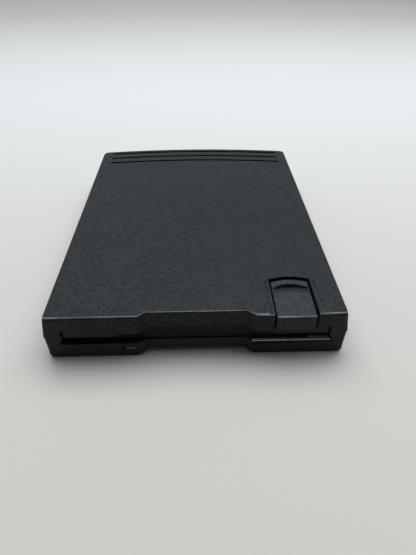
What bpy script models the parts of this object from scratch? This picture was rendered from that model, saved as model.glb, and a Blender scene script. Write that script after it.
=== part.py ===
"""Portable external floppy disk drive for 3.5-inch disks.

Lengths are in metres. +Z is up, the disk slot faces -Y, and +X is to the right seen from the slot.
The origin is at the middle of the footprint, on the surface that the feet stand on.
The drive is at rest with no disk in it: the slide is latched back and the disk holder is raised.
"""

import math

import bmesh
import bpy
from mathutils import Matrix, Vector

MM = 0.001

# Overall size
WIDTH = 104 * MM
DEPTH = 137 * MM
HEIGHT = 19.4 * MM
FRONT = -DEPTH / 2
REAR = DEPTH / 2

# Units for places that keep their share of the case when its size changes
ACROSS = WIDTH / 104
ALONG = DEPTH / 137
UP = HEIGHT / 19.4

# The disk that the drive takes, and the room around it
DISK_SIDE_ROOM = 7 * MM
DISK_WIDTH = WIDTH - 2 * DISK_SIDE_ROOM
DISK_SIDE_CLEARANCE = 0.3 * MM
DISK_BAY_HEIGHT = 4.2 * UP
DISK_BAY_FLOOR = 6.6 * UP

# Clearances
SEAT_GAP = 0.3 * MM
LAYER_GAP = 0.4 * MM
OVERRUN = 2 * MM
BITE = 0.3 * MM

# Case: two moulded covers that meet at the parting line
FOOT_HEIGHT = 0.6 * MM
PARTING_HEIGHT = 10.26 * UP
PARTING_GAP = 0.3 * MM
REVEAL = 0.3 * MM
SKIN = 1.6 * MM
TOP_WALL = 2.2 * MM
BASE_WALL = 2.6 * MM
TOP_DRAFT = 0.25 * MM
BASE_DRAFT = 0.7 * MM
TOP_EDGE_RADIUS = 1.0 * MM
BASE_EDGE_RADIUS = 1.8 * MM
FRONT_CORNER_RADIUS = 2.2 * MM
REAR_CORNER_RADIUS = 3.2 * MM
LEAST_CORNER_RADIUS = 0.6 * MM
REAR_BOW_RADIUS = 390 * MM
REAR_BOW_SHARES = (0.75, 0.5, 0.25, 0, -0.25, -0.5, -0.75)

# Place of the eject button, which the finger recess keeps clear of
BUTTON_INSET = 17.8 * MM
BUTTON_CENTRE_X = WIDTH / 2 - BUTTON_INSET
BUTTON_HALF_WIDTH = 6.9 * MM

# Finger recess in the middle of the front
RECESS_DEPTH = 2.4 * MM
RECESS_BUTTON_GAP = 9.7 * MM
RECESS_HALF_WIDTH = BUTTON_CENTRE_X - BUTTON_HALF_WIDTH - RECESS_BUTTON_GAP
RECESS_SPLAY = 2.4 * MM
RECESS_SPLAY_DEPTH = 1.9 * MM
RECESS_LIP_SPLAY = 3.0 * MM
RECESS_LIP_DEPTH = 1.2 * MM
RECESS_CORNER_RADIUS = 1.2 * MM
RECESS_WALL = 1.3 * MM
RECESS_WALL_SPLAY = 3.8 * MM
RECESS_WALL_HALF_WIDTH = RECESS_HALF_WIDTH + RECESS_WALL_SPLAY
RECESS_TOP_EDGE = 12.5 * UP
SCOOP_SETBACK = 0.6 * MM
SCOOP_HALF_WIDTH = RECESS_HALF_WIDTH - SCOOP_SETBACK
SCOOP_SPLAY = 4.8 * MM
SCOOP_FOOT_HALF_WIDTH = SCOOP_HALF_WIDTH + SCOOP_SPLAY
SCOOP_HEIGHT = 1.8 * MM
SCOOP_DEPTH = 13 * MM
SCOOP_FLOOR_RISE = 1.8 * MM
SCOOP_FLOOR_DEPTH = 8.5 * MM
SCOOP_FLOOR_INSET = 1 * MM
SCOOP_FLOOR_HALF_WIDTH = SCOOP_FOOT_HALF_WIDTH - SCOOP_FLOOR_INSET

# Disk slot
SILL_HEIGHT = 6.2 * UP
SILL_RIB_DEPTH = 1.7 * MM
SILL_RIB_THICKNESS = 1.6 * MM
SLOT_FLARE = 1.6 * MM
SLOT_CORNER_RADIUS = 0.8 * MM
SLOT_RAISE = 1.15 * MM
SLOT_RAISE_OVERLAP = 8.9 * MM
SLOT_RAISE_HALF_WIDTH = RECESS_HALF_WIDTH + SLOT_RAISE_OVERLAP
SLOT_RAISE_RAMP = 1.7 * MM

# Grooves across the rear of the top
GROOVE_COUNT = 3
GROOVE_INSET = 3.9 * MM
GROOVE_PITCH = 5.7 * MM
GROOVE_HALF_WIDTH = 0.8 * MM
GROOVE_DEPTH = 0.8 * MM
GROOVE_SIDE_MARGIN = 6.2 * MM
GROOVE_HALF_LENGTH = WIDTH / 2 - GROOVE_SIDE_MARGIN
GROOVE_SEGMENTS = 12

# Dust door behind the slot, hung on pins in two lugs of the top cover
DOOR_THICKNESS = 1.1 * MM
DOOR_OVERLAP = 0.9 * MM
DOOR_HALF_WIDTH = DISK_WIDTH / 2 + DOOR_OVERLAP
DOOR_SIDE_GAP = 0.7 * MM
SLOT_HALF_WIDTH = DOOR_HALF_WIDTH + DOOR_SIDE_GAP
DOOR_AXIS_INSET = 3.4 * MM
DOOR_AXIS_Y = FRONT + DOOR_AXIS_INSET
DOOR_AXIS_Z = 12.7 * UP
DOOR_SILL_GAP = 0.3 * MM
DOOR_MIDDLE_OVERLAP = 5.4 * MM
DOOR_MIDDLE_HALF_WIDTH = RECESS_HALF_WIDTH + DOOR_MIDDLE_OVERLAP
DOOR_MIDDLE_DROP = 0.6 * MM
DOOR_PIN_RADIUS = 0.7 * MM
DOOR_PIN_LENGTH = 1.4 * MM
DOOR_PIN_CLEARANCE = 0.25 * MM
LUG_GAP = 0.4 * MM
LUG_THICKNESS = 1.2 * MM
LUG_RADIUS = 1.4 * MM
HINGE_SLIT_WIDTH = 0.9 * MM
HINGE_SLIT_RISE = 0.7 * MM
HINGE_SLIT_TOP = DOOR_AXIS_Z + HINGE_SLIT_RISE

# Eject button, and its opening in the top cover
BUTTON_SIDE_GAP = 0.7 * MM
BUTTON_REAR_Y = -49.6 * ALONG
BUTTON_REAR_GAP = 1.0 * MM
BUTTON_REAR_BOW = 1.4 * MM
BUTTON_FRONT_PROUD = 0.5 * MM
BUTTON_REAR_DROP = 0.4 * MM
BUTTON_FRONT_DROP = 0.85 * MM
BUTTON_FRONT_RADIUS = 1.3 * MM
BUTTON_EDGE_RADIUS = 0.5 * MM
BUTTON_SKIRT_THICKNESS = 1.4 * MM
BUTTON_SIDE_THICKNESS = 1.3 * MM
BUTTON_TOP_THICKNESS = 3.0 * MM
BUTTON_SIDE_HEIGHT = 4.4 * MM
BUTTON_STRIP_HEIGHT = 2.0 * MM
BUTTON_ROUNDING_SHARES = (0.6, 0.33, 0.13, 0.03)
POCKET_HALF_WIDTH = 6.0 * MM
POCKET_REAR_Y = -54.1 * ALONG
POCKET_BOW = 1.7 * MM
POCKET_DEPTH = 1.7 * MM
POCKET_FRONT_MARGIN = 1.8 * MM
POCKET_RUN = POCKET_REAR_Y - FRONT - POCKET_FRONT_MARGIN
BOW_SEGMENTS = 10
GUIDE_GROOVE_OFFSET = 8.9 * MM
GUIDE_GROOVE_WIDTH = 0.7 * MM
GUIDE_GROOVE_DEPTH = 0.35 * MM
GUIDE_GROOVE_REAR_Y = -51 * ALONG

# Activity light in the lower front edge
LENS_WIDTH = 4.0 * MM
LENS_RECESS_GAP = 3.9 * MM
LENS_CENTRE_X = -(RECESS_HALF_WIDTH + LENS_RECESS_GAP + LENS_WIDTH / 2)
LENS_BASE_Z = 2.8 * UP
LENS_RIB_GAP = 0.25 * MM
LENS_HEIGHT = SILL_HEIGHT - SILL_RIB_THICKNESS - LENS_RIB_GAP - LENS_BASE_Z
LENS_CLEARANCE = 0.15 * MM
LENS_RECESS = 0.1 * MM
LIGHT_GUIDE_WIDTH = 2.0 * MM
LIGHT_SLIT_WIDTH = 0.6 * MM
LIGHT_SLIT_RISE = 1.05 * MM
LIGHT_SLIT_HEIGHT = LENS_HEIGHT + LIGHT_SLIT_RISE
LIGHT_SLIT_DEPTH = 1.2 * MM
LIGHT_SLIT_OFFSET = 3.0 * MM

# Steel guide strip let into the right half of the sill
STRIP_RECESS_GAP = 2.1 * MM
STRIP_START_X = RECESS_HALF_WIDTH + STRIP_RECESS_GAP
STRIP_END_INSET = 0.4 * MM
STRIP_END_X = SLOT_HALF_WIDTH + SLOT_FLARE - STRIP_END_INSET
STRIP_WIDE_RUN = 7.6 * MM
STRIP_WIDE_X = STRIP_END_X - STRIP_WIDE_RUN
STRIP_LIP = 0.4 * MM
STRIP_DEPTH = 0.9 * MM
STRIP_THICKNESS = 0.4 * MM
STRIP_FLUSH_GAP = 0.05 * MM
STRIP_GROOVE_COUNT = 3
STRIP_GROOVE_WIDTH = 0.8 * MM
STRIP_GROOVE_DEPTH = 0.2 * MM
STRIP_GROOVE_PITCH = 2.0 * MM

# Snap hooks at the front and screw posts at the rear hold the covers together
HOOK_Y = -60 * ALONG
HOOK_HALF_LENGTH = 1.5 * MM
HOOK_THICKNESS = 1.1 * MM
HOOK_GAP = 0.4 * MM
HOOK_LOW_Z = 6.6 * UP
HOOK_NOSE = 0.9 * MM
HOOK_NOSE_HEIGHT = 1.1 * MM
POST_X = 44 * ACROSS
POST_Y = 60.8 * ALONG
POST_RADIUS = 2.9 * MM
TOP_POST_RADIUS = 2.3 * MM
CASE_SCREW_HEAD_RADIUS = 1.7 * MM
CASE_SCREW_HEAD_HEIGHT = 1.2 * MM
CASE_SCREW_SHANK_RADIUS = 0.85 * MM
CASE_SCREW_LENGTH = 12 * MM
CASE_SCREW_RECESS = 0.5 * MM

# Rubber feet
FOOT_RADIUS = 3.9 * MM
FOOT_X = 40 * ACROSS
FRONT_FOOT_Y = -57.5 * ALONG
REAR_FOOT_Y = 50 * ALONG
FOOT_SINK = 0.5 * MM
FOOT_EDGE = 0.15 * MM

# Cable socket in the rear wall
SOCKET_POST_SPACING = 14 * MM
SOCKET_X = POST_X - SOCKET_POST_SPACING
SOCKET_HALF_WIDTH = 8.5 * MM
SOCKET_HEIGHT = 4.6 * MM
SOCKET_TAPER = 1.1 * MM
SOCKET_DROP = 6.06 * MM
SOCKET_BASE_Z = PARTING_HEIGHT - SOCKET_DROP
SOCKET_WALL = 0.5 * MM
SOCKET_FRONT_Y = 58.6 * ALONG
SOCKET_PROUD = 0.5 * MM
INSERT_HALF_WIDTH = 6.6 * MM
INSERT_HEIGHT = 1.6 * MM
INSERT_BASE_DEPTH = 2.6 * MM
INSERT_SETBACK = 2 * MM

COLOURS = {
    "top plastic": ((0.038, 0.046, 0.053, 1), 0.55, 0),
    "base plastic": ((0.012, 0.015, 0.015, 1), 0.55, 0),
    "door plastic": ((0.008, 0.011, 0.011, 1), 0.5, 0),
    "lens": ((0.05, 0.16, 0.07, 1), 0.25, 0),
    "steel": ((0.5, 0.5, 0.48, 1), 0.35, 1),
    "zinc": ((0.3, 0.3, 0.3, 1), 0.4, 1),
    "rubber": ((0.01, 0.01, 0.01, 1), 0.8, 0),
    "board": ((0.02, 0.11, 0.05, 1), 0.5, 0),
    "black plastic": ((0.01, 0.01, 0.012, 1), 0.45, 0),
    "white plastic": ((0.7, 0.69, 0.64, 1), 0.5, 0),
    "copper": ((0.5, 0.2, 0.09, 1), 0.4, 1),
    "ribbon": ((0.35, 0.2, 0.06, 1), 0.4, 0),
}

SIDES = 16
FINE_SIDES = 28
SMOOTH_ANGLE = math.radians(32)

# Heights and half widths that several pieces share
TOP_LOW = PARTING_HEIGHT + PARTING_GAP / 2
BASE_HIGH = PARTING_HEIGHT - PARTING_GAP / 2
TOP_INSIDE = HEIGHT - SKIN
BASE_INSIDE = FOOT_HEIGHT + SKIN
TOP_FRONT_INSIDE = FRONT + TOP_WALL
BASE_FRONT = FRONT + REVEAL
BASE_FRONT_INSIDE = FRONT + BASE_WALL
RECESS_FACE = FRONT + RECESS_DEPTH
RECESS_WALL_REAR = RECESS_FACE + RECESS_WALL
HOUSING_STRIP_TOP = BUTTON_STRIP_HEIGHT + TOP_LOW

# Sheet-metal layers of the mechanism, worked out from the disk outwards
SHEET = 0.5 * MM
SPRING_ROOM = 1.5 * MM
CHASSIS_SHEET = 0.6 * MM
HOLDER_HALF_INSIDE = DISK_WIDTH / 2 + DISK_SIDE_CLEARANCE
HOLDER_HALF_WIDTH = HOLDER_HALF_INSIDE + SHEET
SLIDE_HALF_INSIDE = HOLDER_HALF_WIDTH + LAYER_GAP
SLIDE_HALF_WIDTH = SLIDE_HALF_INSIDE + SHEET
CHASSIS_HALF_INSIDE = SLIDE_HALF_WIDTH + LAYER_GAP
CHASSIS_HALF_WIDTH = CHASSIS_HALF_INSIDE + CHASSIS_SHEET
COVER_HALF_INSIDE = CHASSIS_HALF_WIDTH + LAYER_GAP
COVER_HALF_WIDTH = COVER_HALF_INSIDE + SHEET
CHASSIS_FRONT_Y = -57 * ALONG
CHASSIS_REAR_Y = 57 * ALONG
CHASSIS_LOW = BASE_INSIDE + SEAT_GAP
CHASSIS_FLOOR = CHASSIS_LOW + CHASSIS_SHEET
HOLDER_CEILING = DISK_BAY_FLOOR + DISK_BAY_HEIGHT
HOLDER_TOP = HOLDER_CEILING + SHEET
LEVER_LOW = HOLDER_TOP + SEAT_GAP
LEVER_TOP = LEVER_LOW + SHEET
SLIDE_LOW = LEVER_TOP + LAYER_GAP
SLIDE_TOP = SLIDE_LOW + SHEET
DRIVE_COVER_LOW = SLIDE_TOP + SPRING_ROOM
DRIVE_COVER_TOP = DRIVE_COVER_LOW + SHEET

# Travel: the slide moves forward by its full travel while the holder drops
SLIDE_TRAVEL = 5.5 * MM
SLIDE_PRE_TRAVEL = 0.6 * MM
HOLDER_DROP = 1.6 * MM

# Disk holder and its pins
HOLDER_LIP = 3.0 * MM
HOLDER_REAR_Y = 20.5 * ALONG
HOLDER_PIN_RADIUS = 0.8 * MM
HOLDER_PIN_CLEARANCE = 0.25 * MM
HOLDER_PIN_HEIGHT = 8.7 * UP
HOLDER_PIN_FRONT_Y = -45 * ALONG
HOLDER_PIN_REAR_Y = 10 * ALONG
HEAD_WINDOW_HALF_WIDTH = 9 * MM
HEAD_WINDOW_FRONT_Y = -2.5 * ALONG
HOLDER_MOUTH_RUN = 3 * MM
HOLDER_MOUTH_HALF_WIDTH = 30 * MM

# Slide plate
SLIDE_FRONT_Y = -52.3 * ALONG
SLIDE_REAR_Y = 22 * ALONG
SLIDE_FLANGE_RIM = 0.45 * MM
SLIDE_FLANGE_LOW = (
    HOLDER_PIN_HEIGHT - HOLDER_DROP - HOLDER_PIN_RADIUS - HOLDER_PIN_CLEARANCE - SLIDE_FLANGE_RIM
)
SLIDE_NOTCH_HALF_WIDTH = 12 * MM
SLIDE_NOTCH_FRONT_Y = -8.5 * ALONG
SLIDE_WINDOW_HALF_WIDTH = 18 * MM
SLIDE_WINDOW_FRONT_Y = -40 * ALONG
SLIDE_WINDOW_REAR_Y = -14 * ALONG
SLIDE_WINDOW_CORNER = 3 * MM
BUTTON_TAB_HALF_WIDTH = 4 * MM
BUTTON_RIB_THICKNESS = 0.8 * MM
BUTTON_RIB_LOW_Z = 13.9 * UP
BUTTON_TAB_TOP_GAP = 0.4 * MM

# Slide springs, in windows of the slide plate
SPRING_X = 30 * ACROSS
SPRING_COIL_RADIUS = 0.65 * MM
SPRING_WIRE_RADIUS = 0.13 * MM
SPRING_TURNS = 10
SPRING_TURN_POINTS = 8
SPRING_LIFT = 0.9 * MM
SPRING_WINDOW_HALF_WIDTH = 1.6 * MM
SPRING_WINDOW_FRONT_Y = 2 * ALONG
SPRING_WINDOW_REAR_Y = 19.5 * ALONG

# Shutter lever on the disk holder
LEVER_PIVOT_X = -38.5 * ACROSS
LEVER_PIVOT_Y = 17.5 * ALONG
LEVER_LENGTH = 26 * MM
LEVER_HUB_RADIUS = 2.6 * MM
LEVER_TIP_RADIUS = 1.6 * MM
LEVER_PIVOT_RADIUS = 1.1 * MM
LEVER_PIVOT_CLEARANCE = 0.25 * MM
LEVER_PIN_RADIUS = 0.8 * MM
LEVER_PIN_REACH = 2.4 * MM
LEVER_REST_DEGREES = -60
LEVER_SWING_DEGREES = 66
LEVER_SLOT_HALF_WIDTH = 1.3 * MM
LEVER_SLOT_MARGIN_DEGREES = 4

# Spindle motor
SPINDLE_Y = -20 * ALONG
ROTOR_RADIUS = 15.2 * MM
ROTOR_HUB_RADIUS = 12 * MM
ROTOR_LOW = 3.5 * MM
ROTOR_RIM_TOP = 4.7 * MM
ROTOR_HUB_TOP = 5.3 * MM
SPINDLE_RADIUS = 2 * MM
SPINDLE_TOP = 6.3 * MM
SPINDLE_SHAFT_RADIUS = 1.5 * MM
DRIVE_PIN_RADIUS = 0.9 * MM
DRIVE_PIN_OFFSET = 9.5 * MM
DRIVE_PIN_TOP = 6.0 * MM
MAGNET_GAP = 0.6 * MM
STATOR_RADIUS = 21.5 * MM
STATOR_YOKE = 1.8 * MM
STATOR_LOW = 3.4 * MM
STATOR_TOP = 4.6 * MM
STATOR_TEETH = 15
STATOR_TOOTH_SHARE = 0.36
STATOR_SHOE_SHARE = 0.72
STATOR_SHOE_DEPTH = 0.9 * MM
MOTOR_BOARD_HALF_WIDTH = 31 * MM
MOTOR_BOARD_FRONT_REACH = 28 * MM
MOTOR_BOARD_REAR_REACH = 24 * MM
MOTOR_BOARD_FRONT_Y = SPINDLE_Y - MOTOR_BOARD_FRONT_REACH
MOTOR_BOARD_REAR_Y = SPINDLE_Y + MOTOR_BOARD_REAR_REACH
MOTOR_BOARD_CORNER = 3 * MM

# Switches beside the motor board
SWITCH_X = 37 * ACROSS
SWITCH_Y = -53.5 * ALONG
SWITCH_HALF_WIDTH = 3 * MM
SWITCH_HALF_DEPTH = 2.4 * MM
SWITCH_HEIGHT = 2 * MM
PLUNGER_RADIUS = 0.8 * MM
PLUNGER_CLEARANCE = 0.25 * MM
PLUNGER_LOW = 4.8 * MM
PLUNGER_TOP = 6.15 * MM

# Head carriage, its rod and its lead screw
CARRIAGE_FRONT_Y = 38.6 * ALONG
CARRIAGE_REAR_Y = 46.6 * ALONG
CARRIAGE_LEFT_X = -14 * ACROSS
CARRIAGE_RIGHT_X = 16 * ACROSS
RAIL_RISE = 4.5 * UP
RAIL_Z = CHASSIS_FLOOR + RAIL_RISE
CARRIAGE_BELOW_RAIL = 2.7 * MM
CARRIAGE_ABOVE_RAIL = 2.6 * MM
CARRIAGE_LOW = RAIL_Z - CARRIAGE_BELOW_RAIL
CARRIAGE_TOP = RAIL_Z + CARRIAGE_ABOVE_RAIL
RAIL_RADIUS = 1.5 * MM
RAIL_CLEARANCE = 0.3 * MM
GUIDE_ROD_X = -10.5 * ACROSS
LEAD_SCREW_X = 12 * ACROSS
LEAD_SCREW_LEAD = 3 * MM
LEAD_SCREW_THREAD_DEPTH = 0.35 * MM
LEAD_SCREW_STEPS = 4
LEAD_SCREW_SIDES = 10
GUIDE_ROD_REAR_Y = 56.4 * ALONG
RAIL_TAB_Y = 22.1 * ALONG
RAIL_TAB_HALF_WIDTH = 3 * MM
RAIL_TAB_REAR_Y = 55 * ALONG
RAIL_TAB_TOP = CARRIAGE_TOP
RAIL_TAB_THICKNESS = 1.2 * MM
ARM_HALF_WIDTH = 5 * MM
ARM_TIP_Y = 15 * ALONG
ARM_THICKNESS = 0.8 * MM
HEAD_Y = 18.5 * ALONG
HEAD_HALF_SIZE = 2.4 * MM
LOWER_HEAD_HEIGHT = 0.5 * MM
LOWER_HEAD_TOP = CARRIAGE_LOW + ARM_THICKNESS + LOWER_HEAD_HEIGHT
UPPER_ARM_AXIS_Y = 42.6 * ALONG
UPPER_ARM_HEADROOM = 2.1 * MM
UPPER_ARM_AXIS_Z = DRIVE_COVER_LOW - UPPER_ARM_HEADROOM
UPPER_ARM_AXIS_RISE = 0.4 * MM
UPPER_ARM_LOW = UPPER_ARM_AXIS_Z - UPPER_ARM_AXIS_RISE
UPPER_HEAD_HANG = 1.05 * MM
UPPER_HEAD_LOW = UPPER_ARM_LOW - UPPER_HEAD_HANG
ARM_PIN_RADIUS = 0.7 * MM
ARM_TIP_RIM = 0.9 * MM
ARM_LUG_THICKNESS = 1.4 * MM
ARM_LUG_HALF_LENGTH = 1.8 * MM
STEPPER_FRONT_Y = 50.8 * ALONG
STEPPER_REAR_Y = 56.8 * ALONG
STEPPER_FLOOR_GAP = 0.4 * MM
STEPPER_RADIUS = RAIL_RISE - STEPPER_FLOOR_GAP
STEPPER_EDGE = 0.4 * MM
STEPPER_BEARING_DEPTH = 2 * MM

# Boards and sensors
BOARD_THICKNESS = 1 * MM
BOARD_LOW = CHASSIS_FLOOR + SEAT_GAP
BOARD_SIDE_REACH = 1 * MM
CONTROL_BOARD_LEFT_X = -DISK_WIDTH / 2 - BOARD_SIDE_REACH
CONTROL_BOARD_RIGHT_X = -17 * ACROSS
CONTROL_BOARD_FRONT_Y = 24 * ALONG
CONTROL_BOARD_REAR_Y = 54.5 * ALONG
CONTROL_BOARD_WING_X = 6.5 * ACROSS
CONTROL_BOARD_WING_Y = 48 * ALONG
BOARD_HEADER_LENGTH = 2.5 * MM
CHIP_X = -32 * ACROSS
CHIP_Y = 38 * ALONG
CHIP_HALF_SIZE = 5 * MM
CHIP_THICKNESS = 1.4 * MM
SENSOR_X = -19.5 * ACROSS
SENSOR_HALF_WIDTH = 2 * MM
SENSOR_Y = 44 * ALONG
SENSOR_HALF_DEPTH = 2.5 * MM
SENSOR_ABOVE_RAIL = 2 * MM
SENSOR_TOP = RAIL_Z + SENSOR_ABOVE_RAIL
SENSOR_FLAG_HALF_WIDTH = 1.5 * MM
SENSOR_FLAG_HALF_THICKNESS = 0.35 * MM
INTERFACE_LEFT_X = 18 * ACROSS
INTERFACE_RIGHT_X = DISK_WIDTH / 2 + BOARD_SIDE_REACH
INTERFACE_FRONT_Y = 36 * ALONG
INTERFACE_REAR_Y = 57.2 * ALONG

# Head ribbon
RIBBON_HALF_WIDTH = 3 * MM
RIBBON_X = 2 * ACROSS
RIBBON_THICKNESS = 0.2 * MM
RIBBON_ABOVE_RAIL = 1.8 * MM
RIBBON_TOP_Z = RAIL_Z + RIBBON_ABOVE_RAIL
RIBBON_BEND_Y = 53.5 * ALONG
RIBBON_BEND_RADIUS = 1.9 * MM
RIBBON_END_Y = 49 * ALONG

# Drive cover and chassis screws
DRIVE_COVER_FRONT_Y = -48.5 * ALONG
DRIVE_COVER_REAR_Y = 56.5 * ALONG
DRIVE_COVER_SKIRT_LOW = 9.5 * UP
DRIVE_COVER_VENT_COUNT = 5
DRIVE_COVER_VENT_PITCH = 6 * MM
DRIVE_COVER_VENT_HALF_LENGTH = 12 * MM
DRIVE_COVER_VENT_HALF_WIDTH = 1 * MM
DRIVE_COVER_VENT_Y = -30 * ALONG
CHASSIS_SCREW_X = 41 * ACROSS
CHASSIS_SCREW_FRONT_Y = -47 * ALONG
CHASSIS_SCREW_REAR_Y = 21 * ALONG
CHASSIS_SCREW_HEAD_RADIUS = 1.6 * MM
CHASSIS_SCREW_HEAD_HEIGHT = 0.8 * MM
CHASSIS_SCREW_SHANK_RADIUS = 0.8 * MM
CHASSIS_SCREW_SINK = 0.9 * MM


# Helpers


def clear_scene():
    for obj in list(bpy.data.objects):
        bpy.data.objects.remove(obj, do_unlink=True)


def material(name):
    """The named Principled material, made the first time it is asked for."""
    found = bpy.data.materials.get(name)
    if found:
        return found
    colour, roughness, metallic = COLOURS[name]
    made = bpy.data.materials.new(name)
    made.use_nodes = True
    made.diffuse_color = colour
    shader = made.node_tree.nodes["Principled BSDF"]
    shader.inputs["Base Color"].default_value = colour
    shader.inputs["Roughness"].default_value = roughness
    shader.inputs["Metallic"].default_value = metallic
    return made


def add_mesh(name, bm, finish=None):
    """Puts the bmesh in the scene. Without a finish it is a helper for a Boolean, which no render shows."""
    bmesh.ops.recalc_face_normals(bm, faces=bm.faces[:])
    mesh = bpy.data.meshes.new(name)
    bm.to_mesh(mesh)
    bm.free()
    obj = bpy.data.objects.new(name, mesh)
    bpy.context.scene.collection.objects.link(obj)
    if finish is None:
        obj.hide_render = True
        obj.display_type = "WIRE"
    else:
        mesh.materials.append(material(finish))
        mesh.shade_smooth()
        mesh.set_sharp_from_angle(angle=SMOOTH_ANGLE)
    return obj


def point_on(axis, a, b, along):
    """A point from its two places across an axis and its place along it."""
    if axis == "X":
        return Vector((along, a, b))
    if axis == "Y":
        return Vector((a, along, b))
    return Vector((a, b, along))


def prism(name, outline, low, high, axis="Z", finish=None):
    """An outline pulled along an axis from low to high."""
    bm = bmesh.new()
    base = bm.faces.new([bm.verts.new(point_on(axis, a, b, low)) for a, b in outline])
    pulled = bmesh.ops.extrude_face_region(bm, geom=[base])["geom"]
    moved = [item for item in pulled if isinstance(item, bmesh.types.BMVert)]
    bmesh.ops.translate(bm, verts=moved, vec=point_on(axis, 0, 0, high - low))
    return add_mesh(name, bm, finish)


def loft(name, rings, finish=None):
    """A closed solid through rings of points that have as many points each."""
    bm = bmesh.new()
    loops = [[bm.verts.new(point) for point in ring] for ring in rings]
    for low, high in zip(loops, loops[1:]):
        for index, corner in enumerate(low):
            after = (index + 1) % len(low)
            bm.faces.new((corner, low[after], high[after], high[index]))
    bm.faces.new(loops[0][::-1])
    bm.faces.new(loops[-1])
    return add_mesh(name, bm, finish)


def turned(name, profile, centre, axis="Z", sides=SIDES, finish=None):
    """A round solid: profile holds (radius, place along the axis) pairs, centre the two places across it."""
    rings = []
    for radius, along in profile:
        ring = [(centre[0] + a, centre[1] + b) for a, b in circle(radius, sides)]
        rings.append([point_on(axis, a, b, along) for a, b in ring])
    return loft(name, rings, finish)


def rod(name, radius, centre, low, high, axis="Z", sides=SIDES, finish=None):
    return turned(name, [(radius, low), (radius, high)], centre, axis, sides, finish)


def block(name, x, y, z, finish=None):
    """A box between two limits on each axis."""
    outline = [(x[0], y[0]), (x[1], y[0]), (x[1], y[1]), (x[0], y[1])]
    return prism(name, outline, z[0], z[1], "Z", finish)


def cut(obj, *tools):
    for tool in tools:
        add_boolean(obj, tool, "DIFFERENCE")


def fuse(obj, *tools):
    for tool in tools:
        add_boolean(obj, tool, "UNION")


def add_boolean(obj, tool, operation):
    modifier = obj.modifiers.new(tool.name, "BOOLEAN")
    modifier.operation = operation
    modifier.solver = "EXACT"
    modifier.object = tool


def put_origin(obj, place):
    """Moves the object's origin to a place on its joint's axis, with the shape left where it is."""
    obj.data.transform(Matrix.Translation(-Vector(place)))
    obj.location = place


def circle(radius, sides):
    turns = [2 * math.pi * index / sides for index in range(sides)]
    return [(radius * math.cos(turn), radius * math.sin(turn)) for turn in turns]


def arc(centre, radius, start, end, steps):
    """Points on an arc between two angles in degrees, with both ends."""
    angles = [math.radians(start + (end - start) * step / steps) for step in range(steps + 1)]
    return [(centre[0] + radius * math.cos(a), centre[1] + radius * math.sin(a)) for a in angles]


def rounded(corners, steps=4):
    """An outline from (x, y, radius) corners, each turned into an arc of that radius."""
    outline = []
    for index, (x, y, radius) in enumerate(corners):
        here = Vector((x, y))
        if not radius:
            outline.append((x, y))
            continue
        before = (Vector(corners[index - 1][:2]) - here).normalized()
        after = (Vector(corners[(index + 1) % len(corners)][:2]) - here).normalized()
        half = before.angle(after) / 2
        centre = here + (before + after).normalized() * radius / math.sin(half)
        start = here + before * radius / math.tan(half) - centre
        end = here + after * radius / math.tan(half) - centre
        turn = math.atan2(start.x * end.y - start.y * end.x, start.dot(end))
        for step in range(steps + 1):
            spoke = Matrix.Rotation(turn * step / steps, 2) @ start
            outline.append(tuple(centre + spoke))
    return outline


def bowed_strip(centre_y, half_length, half_width, radius, segments):
    """A round-ended strip in plan that follows a bow of the given radius, centred on x = 0."""
    heart = centre_y - radius
    sweep = math.degrees(math.asin(half_length / radius))
    outline = arc((0, heart), radius + half_width, 90 - sweep, 90 + sweep, segments)
    left, right = (arc((0, heart), radius, 90 + side * sweep, 90, 1)[0] for side in (1, -1))
    outline += arc(left, half_width, 90 + sweep, 270 + sweep, 6)[1:-1]
    outline += arc((0, heart), radius - half_width, 90 + sweep, 90 - sweep, segments)
    outline += arc(right, half_width, -90 - sweep, 90 - sweep, 6)[1:-1]
    return outline


# Case


def plan(inset):
    """Plan outline of the case drawn in by inset: straight sides and front, and a bowed rear edge."""
    half = WIDTH / 2 - inset
    front = FRONT + inset
    radius = REAR_BOW_RADIUS - inset
    heart = REAR - REAR_BOW_RADIUS
    front_corner = max(FRONT_CORNER_RADIUS - inset, LEAST_CORNER_RADIUS)
    rear_corner = max(REAR_CORNER_RADIUS - inset, LEAST_CORNER_RADIUS)

    def edge(x):
        return heart + math.sqrt(radius**2 - x**2)

    corners = [(-half, front, front_corner), (half, front, front_corner), (half, edge(half), rear_corner)]
    corners += [(half * share, edge(half * share), 0) for share in REAR_BOW_SHARES]
    corners.append((-half, edge(half), rear_corner))
    return rounded(corners)


def case_rings(stations):
    return [[Vector((x, y, height)) for x, y in plan(inset)] for height, inset in stations]


def rounding(steps):
    """(run, rise) shares of a quarter round, from its straight side to its flat."""
    turns = [math.pi / 2 * step / steps for step in range(1, steps + 1)]
    return [(1 - math.cos(turn), math.sin(turn)) for turn in turns]


def recess_cutter(name):
    """The set-back middle of the front: splayed sides with soft lips, cut the full height of a cover."""
    back = RECESS_HALF_WIDTH
    side = back + RECESS_SPLAY
    lip = side + RECESS_LIP_SPLAY
    depth = RECESS_FACE - RECESS_SPLAY_DEPTH
    corners = [
        (back, RECESS_FACE, RECESS_CORNER_RADIUS),
        (side, depth, RECESS_CORNER_RADIUS),
        (lip, depth - RECESS_LIP_DEPTH, 0),
    ]
    mirrored = [(-x, y, radius) for x, y, radius in reversed(corners)]
    return prism(name, rounded(corners + mirrored), -OVERRUN, HEIGHT + OVERRUN)


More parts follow.
